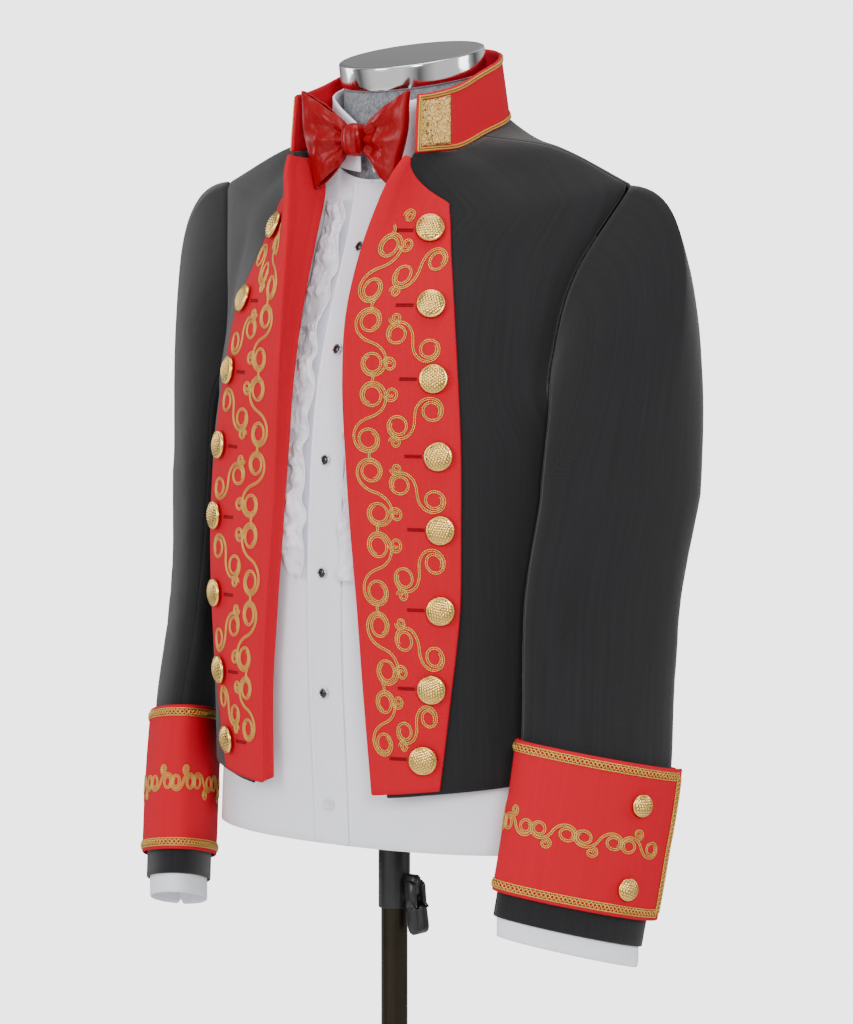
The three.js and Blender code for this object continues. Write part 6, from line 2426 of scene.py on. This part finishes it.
@dataclass
class Stand:
    """The black base, the bronzed pole, and the sliding socket with its clamp lever."""

    finishes: Finishes
    pole_radius: float = 11.2
    pole_top: float = 1280.0
    pole_foot: float = 11.3
    base_radius: float = 195.0
    tube_inner: float = 11.7
    tube_outer: float = 13.4
    tube_bottom: float = 793.0
    tube_top: float = 856.7
    pin_x: float = 21.5
    pin_z: float = 812.0
    lug: float = 8.0
    lever_width: float = 17.0

    def base(self) -> None:
        """A disc with a rounded rim, a slow rise and a hub round the pole."""
        corners = [
            (11.6, 11.0), (11.6, 62.0), (20.0, 62.0), (22.0, 14.0), (52.0, 11.0), (150.0, 8.4), (192.0, 7.0),
            (self.base_radius, 5.2), (self.base_radius, 0.0), (0.05, 0.0), (0.05, 11.0),
        ]
        shape = revolved([corners[-1], *rounded_profile(corners[:-1], 2.2, 5)], 160)
        put("black_base", shape, self.finishes.black, "black_metal", ["base_disc"], body="stand")

    def pole(self) -> None:
        """The pole, with chamfered ends."""
        r, low, high = self.pole_radius, self.pole_foot, self.pole_top
        profile = [(0.05, low), (r - 0.5, low), (r, low + 0.6)]
        profile += [(r, h) for h in np.linspace(low + 30, high - 30, 24)]
        profile += [(r, high - 0.8), (r - 0.8, high), (0.05, high)]
        put("bronze_pole", revolved(profile, 72), self.finishes.bronze, "bronze", ["pole"], body="stand")

    def socket(self) -> None:
        """The tube, with a rolled lip at each end and the lug that the lever turns on."""
        i, o, low, high = self.tube_inner, self.tube_outer, self.tube_bottom, self.tube_top
        profile = rounded_profile([(i, low), (o, low), (o, high), (i, high), (i, low)], 0.5, 3)
        angle = np.arange(72) * TURN / 72
        rh = np.array(profile[:-1])
        level = rh[:, 1:] + 0 * angle
        rings = np.stack([rh[:, :1] * np.cos(angle), rh[:, :1] * np.sin(angle), level], axis=-1)
        tube = self.ring_loop(rings)
        half, start, end = self.lug / 2, o - 0.6, self.pin_x + 4
        outline = np.array([
            (start, self.pin_z - 8), (end - 2.5, self.pin_z - 8), (end, self.pin_z - 5.5), (end, self.pin_z + 7.5),
            (end - 2.5, self.pin_z + 10), (start, self.pin_z + 10),
        ])
        lug = self.plate(outline, half, 0.7)
        put("socket", joined([tube, lug]), self.finishes.black, "black_metal", ["socket_tube"])

    @staticmethod
    def ring_loop(rings: Array) -> Shape:
        """A body through rings whose last joins its first, such as a tube's wall."""
        rows, width = rings.shape[:2]
        looped = np.concatenate([rings, rings[:1]])
        quads, corners = grid_ids(rows + 1, width, True)
        places = cloth_places(looped, True).reshape(-1, 2)
        return Shape(rings.reshape(-1, 3), quads % (rows * width), places[corners]).outward()

    @staticmethod
    def plate(outline: Array, half: float, bevel: float) -> Shape:
        """An upright plate: an outline of (x, z), half thick each way along Y, with bevelled edges."""
        centre = outline.mean(axis=0)
        inner = outline + unit(centre - outline) * bevel
        levels = [(inner, -half), (outline, -half + bevel), (outline, half - bevel), (inner, half)]
        rings = np.stack([np.column_stack([o[:, 0], np.full(len(o), y), o[:, 1]]) for o, y in levels])
        return ring_solid(rings)

    def lever(self) -> None:
        """The forked lever: two cheeks on the pin, and the arm that hangs below them.

        The outline is a round cheek with a curved arm, smooth between its points.
        """
        guides = np.array([
            (-5.0, 0.0), (-4.1, 3.6), (0.0, 5.5), (4.1, 3.6), (5.6, 0.0), (7.0, -14.0), (9.2, -30.0), (9.0, -36.5),
            (4.8, -39.6), (0.2, -37.0), (-1.6, -29.0), (-2.5, -22.0), (-4.4, -8.0), (-5.0, 0.0),
        ])
        fine = smooth(guides, np.linspace(0, 13, 79))[:-1] + [self.pin_x, self.pin_z]
        half = self.lever_width / 2
        slot = self.lug / 2 + 0.6
        arm = fine.copy()
        arm[:, 1] = np.minimum(arm[:, 1], self.pin_z - 15.4)
        keep = np.append(True, np.linalg.norm(np.diff(arm, axis=0), axis=1) > 0.05)
        shapes = [self.plate(arm[keep], half, 0.9)]
        cheek = fine.copy()
        cheek[:, 1] = np.maximum(cheek[:, 1], self.pin_z - 17.0)
        keep = np.append(True, np.linalg.norm(np.diff(cheek, axis=0), axis=1) > 0.05)
        for sign in (-1, 1):
            middle = (half + slot) / 2 * sign
            plate = self.plate(cheek[keep], (half - slot) / 2, 0.7)
            shapes.append(plate.moved(lambda points, shift=middle: points + [0.0, shift, 0.0]))
        angle = np.arange(24) * TURN / 24
        pin = [
            np.stack([self.pin_x + r * np.cos(angle), 0 * angle + y, self.pin_z + r * np.sin(angle)], axis=1)
            for r, y in ((1.5, -half + 0.3), (2.0, -half + 0.8), (2.0, half - 0.8), (1.5, half - 0.3))
        ]
        shapes.append(ring_solid(np.stack(pin)))
        put("clamp", joined(shapes), self.finishes.black, "black_metal", ["clamp_lever"], body="lever")

    def build(self) -> None:
        """Makes the stand."""
        self.base()
        self.pole()
        self.socket()
        self.lever()


# ---- the studio ----------------------------------------------------------------------------
@dataclass
class Studio:
    """Camera, soft lights and the pale floor."""

    azimuth: float = 38.0  # degrees towards the wearer's left of the front
    distance: float = 3.7
    height: float = 1.445
    focal: float = 4440.0  # in pixels of a picture 1024 high
    yaw: float = 32.5  # the axis stands this many pixels left of the picture's middle
    pitch: float = 382.0  # the horizon stands this many pixels above it
    background: tuple[float, float, float] = (0.80, 0.79, 0.80)
    backdrop: float = 4.2
    room: float = 0.9
    floor_colour: tuple[float, float, float] = (0.92, 0.915, 0.92)
    floor_radius: float = 3.0

    def camera(self) -> None:
        """Places the camera; its axis is turned right and down from the pole by the pixel offsets."""
        az = math.radians(self.azimuth)
        forward = np.array([-math.sin(az), math.cos(az), 0.0])
        right = np.array([math.cos(az), math.sin(az), 0.0])
        yaw, pitch = math.atan2(self.yaw, self.focal), math.atan2(self.pitch, self.focal)
        level = forward * math.cos(yaw) + right * math.sin(yaw)
        side = np.cross(level, [0.0, 0.0, 1.0])
        look = level * math.cos(pitch) - np.array([0.0, 0.0, 1.0]) * math.sin(pitch)
        up = np.cross(side, look)
        data = bpy.data.cameras.new("camera")
        data.sensor_fit = "VERTICAL"
        data.sensor_height = 36.0
        data.lens = 36.0 * self.focal / 1024
        data.clip_end = 60.0
        made = bpy.data.objects.new("camera", data)
        turn = np.column_stack([side, up, -look])
        place = np.eye(4)
        place[:3, :3] = turn
        place[:3, 3] = (math.sin(az) * self.distance, -math.cos(az) * self.distance, self.height)
        made.matrix_world = Matrix(place.tolist())
        bpy.context.scene.collection.objects.link(made)
        bpy.context.scene.camera = made

    @staticmethod
    def light(
        name: str, place: Sequence[float], aim: Sequence[float], size: tuple[float, float], power: float
    ) -> None:
        """A soft rectangular lamp at a place, aimed at a point."""
        data = bpy.data.lights.new(name, "AREA")
        data.shape = "RECTANGLE"
        data.size, data.size_y = size
        data.energy = power
        made = bpy.data.objects.new(name, data)
        back = unit(np.array(place, float) - np.array(aim, float))
        side = unit(np.cross([0.0, 0.0, 1.0], back))
        matrix = np.eye(4)
        matrix[:3, :3] = np.column_stack([side, np.cross(back, side), back])
        matrix[:3, 3] = place
        made.matrix_world = Matrix(matrix.tolist())
        bpy.context.scene.collection.objects.link(made)

    def lights(self) -> None:
        """Soft lamps from the front, both sides, behind and above."""
        self.light("key", (2.9, -2.6, 2.5), (0.0, 0.0, 1.15), (1.0, 1.5), 92.0)
        self.light("front", (-0.6, -3.4, 2.1), (0.0, 0.0, 1.1), (1.2, 1.8), 44.0)
        self.light("back", (2.8, 2.2, 2.2), (0.0, 0.0, 1.1), (1.2, 1.8), 34.0)
        self.light("side", (-3.2, -0.6, 1.9), (0.0, 0.0, 1.1), (1.2, 2.0), 30.0)
        self.light("top", (0.2, -0.2, 4.0), (0.0, 0.0, 1.2), (1.8, 1.8), 40.0)

    def world(self) -> None:
        """A pale backdrop for the camera, and a room of light walls and dark gaps for light and gloss."""
        world = bpy.data.worlds.new("studio")
        world.use_nodes = True
        nodes, links = world.node_tree.nodes, world.node_tree.links
        backdrop = nodes["Background"]
        backdrop.inputs["Color"].default_value = (*self.background, 1.0)
        backdrop.inputs["Strength"].default_value = self.backdrop
        room = nodes.new("ShaderNodeBackground")
        room.inputs["Strength"].default_value = self.room
        place = nodes.new("ShaderNodeTexCoord")
        bands = nodes.new("ShaderNodeTexGradient")
        bands.gradient_type = "RADIAL"
        ramp = nodes.new("ShaderNodeValToRGB")
        stops = (
            (0.0, 0.9), (0.10, 0.12), (0.17, 0.95), (0.33, 1.0), (0.40, 0.10), (0.47, 0.85), (0.60, 0.9),
            (0.68, 0.08), (0.76, 0.8), (0.90, 0.15), (1.0, 0.9),
        )
        elements = ramp.color_ramp.elements
        while len(elements) < len(stops):
            elements.new(0.5)
        for element, (at, value) in zip(elements, stops):
            element.position = at
            element.color = (value, value, value, 1.0)
        path, mix = nodes.new("ShaderNodeLightPath"), nodes.new("ShaderNodeMixShader")
        links.new(place.outputs["Generated"], bands.inputs["Vector"])
        links.new(bands.outputs["Fac"], ramp.inputs["Fac"])
        links.new(ramp.outputs["Color"], room.inputs["Color"])
        links.new(path.outputs["Is Camera Ray"], mix.inputs[0])
        links.new(room.outputs[0], mix.inputs[1])
        links.new(backdrop.outputs[0], mix.inputs[2])
        links.new(mix.outputs[0], nodes["World Output"].inputs["Surface"])
        bpy.context.scene.world = world

    def floor(self) -> None:
        """A wide disc whose edge fades out."""
        g = Graph("floor")
        place = g.object_place()
        radius = ((g.part(place, "X") ** 2) + (g.part(place, "Y") ** 2)) ** 0.5
        fade = (1.0 - (radius - 1.0) / (self.floor_radius - 1.05)).clamped()
        material = g.surface(
            Base_Color=g.blend(g.noise(3.0), self.floor_colour, (0.90, 0.895, 0.90)),
            Roughness=0.6,
            Alpha=fade,
        )
        edge = self.floor_radius / MM
        shape = revolved([(0.01, -3.0), (edge, -3.0), (edge, -0.1), (0.01, -0.1)], 128)
        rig.stage(add_mesh("floor", shape, material))

    def build(self) -> None:
        """Sets the studio up."""
        self.world()
        self.camera()
        self.lights()
        self.floor()


def write_sizes() -> None:
    """Writes the frame's own box, for comparing with the finished piece's."""
    low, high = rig.bounds()
    with open(SIZE_FILE, "w", encoding="utf-8") as file:
        json.dump({"cad": [list(low), list(high)]}, file)


def add_visual_size() -> None:
    with open(SIZE_FILE, encoding="utf-8") as file:
        sizes = json.load(file)
    low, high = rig.bounds()
    sizes["visual"] = [list(low), list(high)]
    with open(SIZE_FILE, "w", encoding="utf-8") as file:
        json.dump(sizes, file)
    LOG.info("boxes: %s", sizes)


def main() -> None:
    """Builds everything on the frame."""
    logging.basicConfig(level=logging.INFO, format="%(name)s: %(message)s")
    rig.load()
    write_sizes()
    finishes = Finishes()
    DressForm(finishes).build()
    Stand(finishes).build()
    Shirt(finishes).build()
    JacketBody(finishes).build()
    TurnedFronts(finishes).build()
    Sleeves(finishes).build()
    Cuffs(finishes).build()
    Collar(finishes).build()
    BowTie(finishes).build()
    Studio().build()
    add_visual_size()


if __name__ == "__main__":
    main()
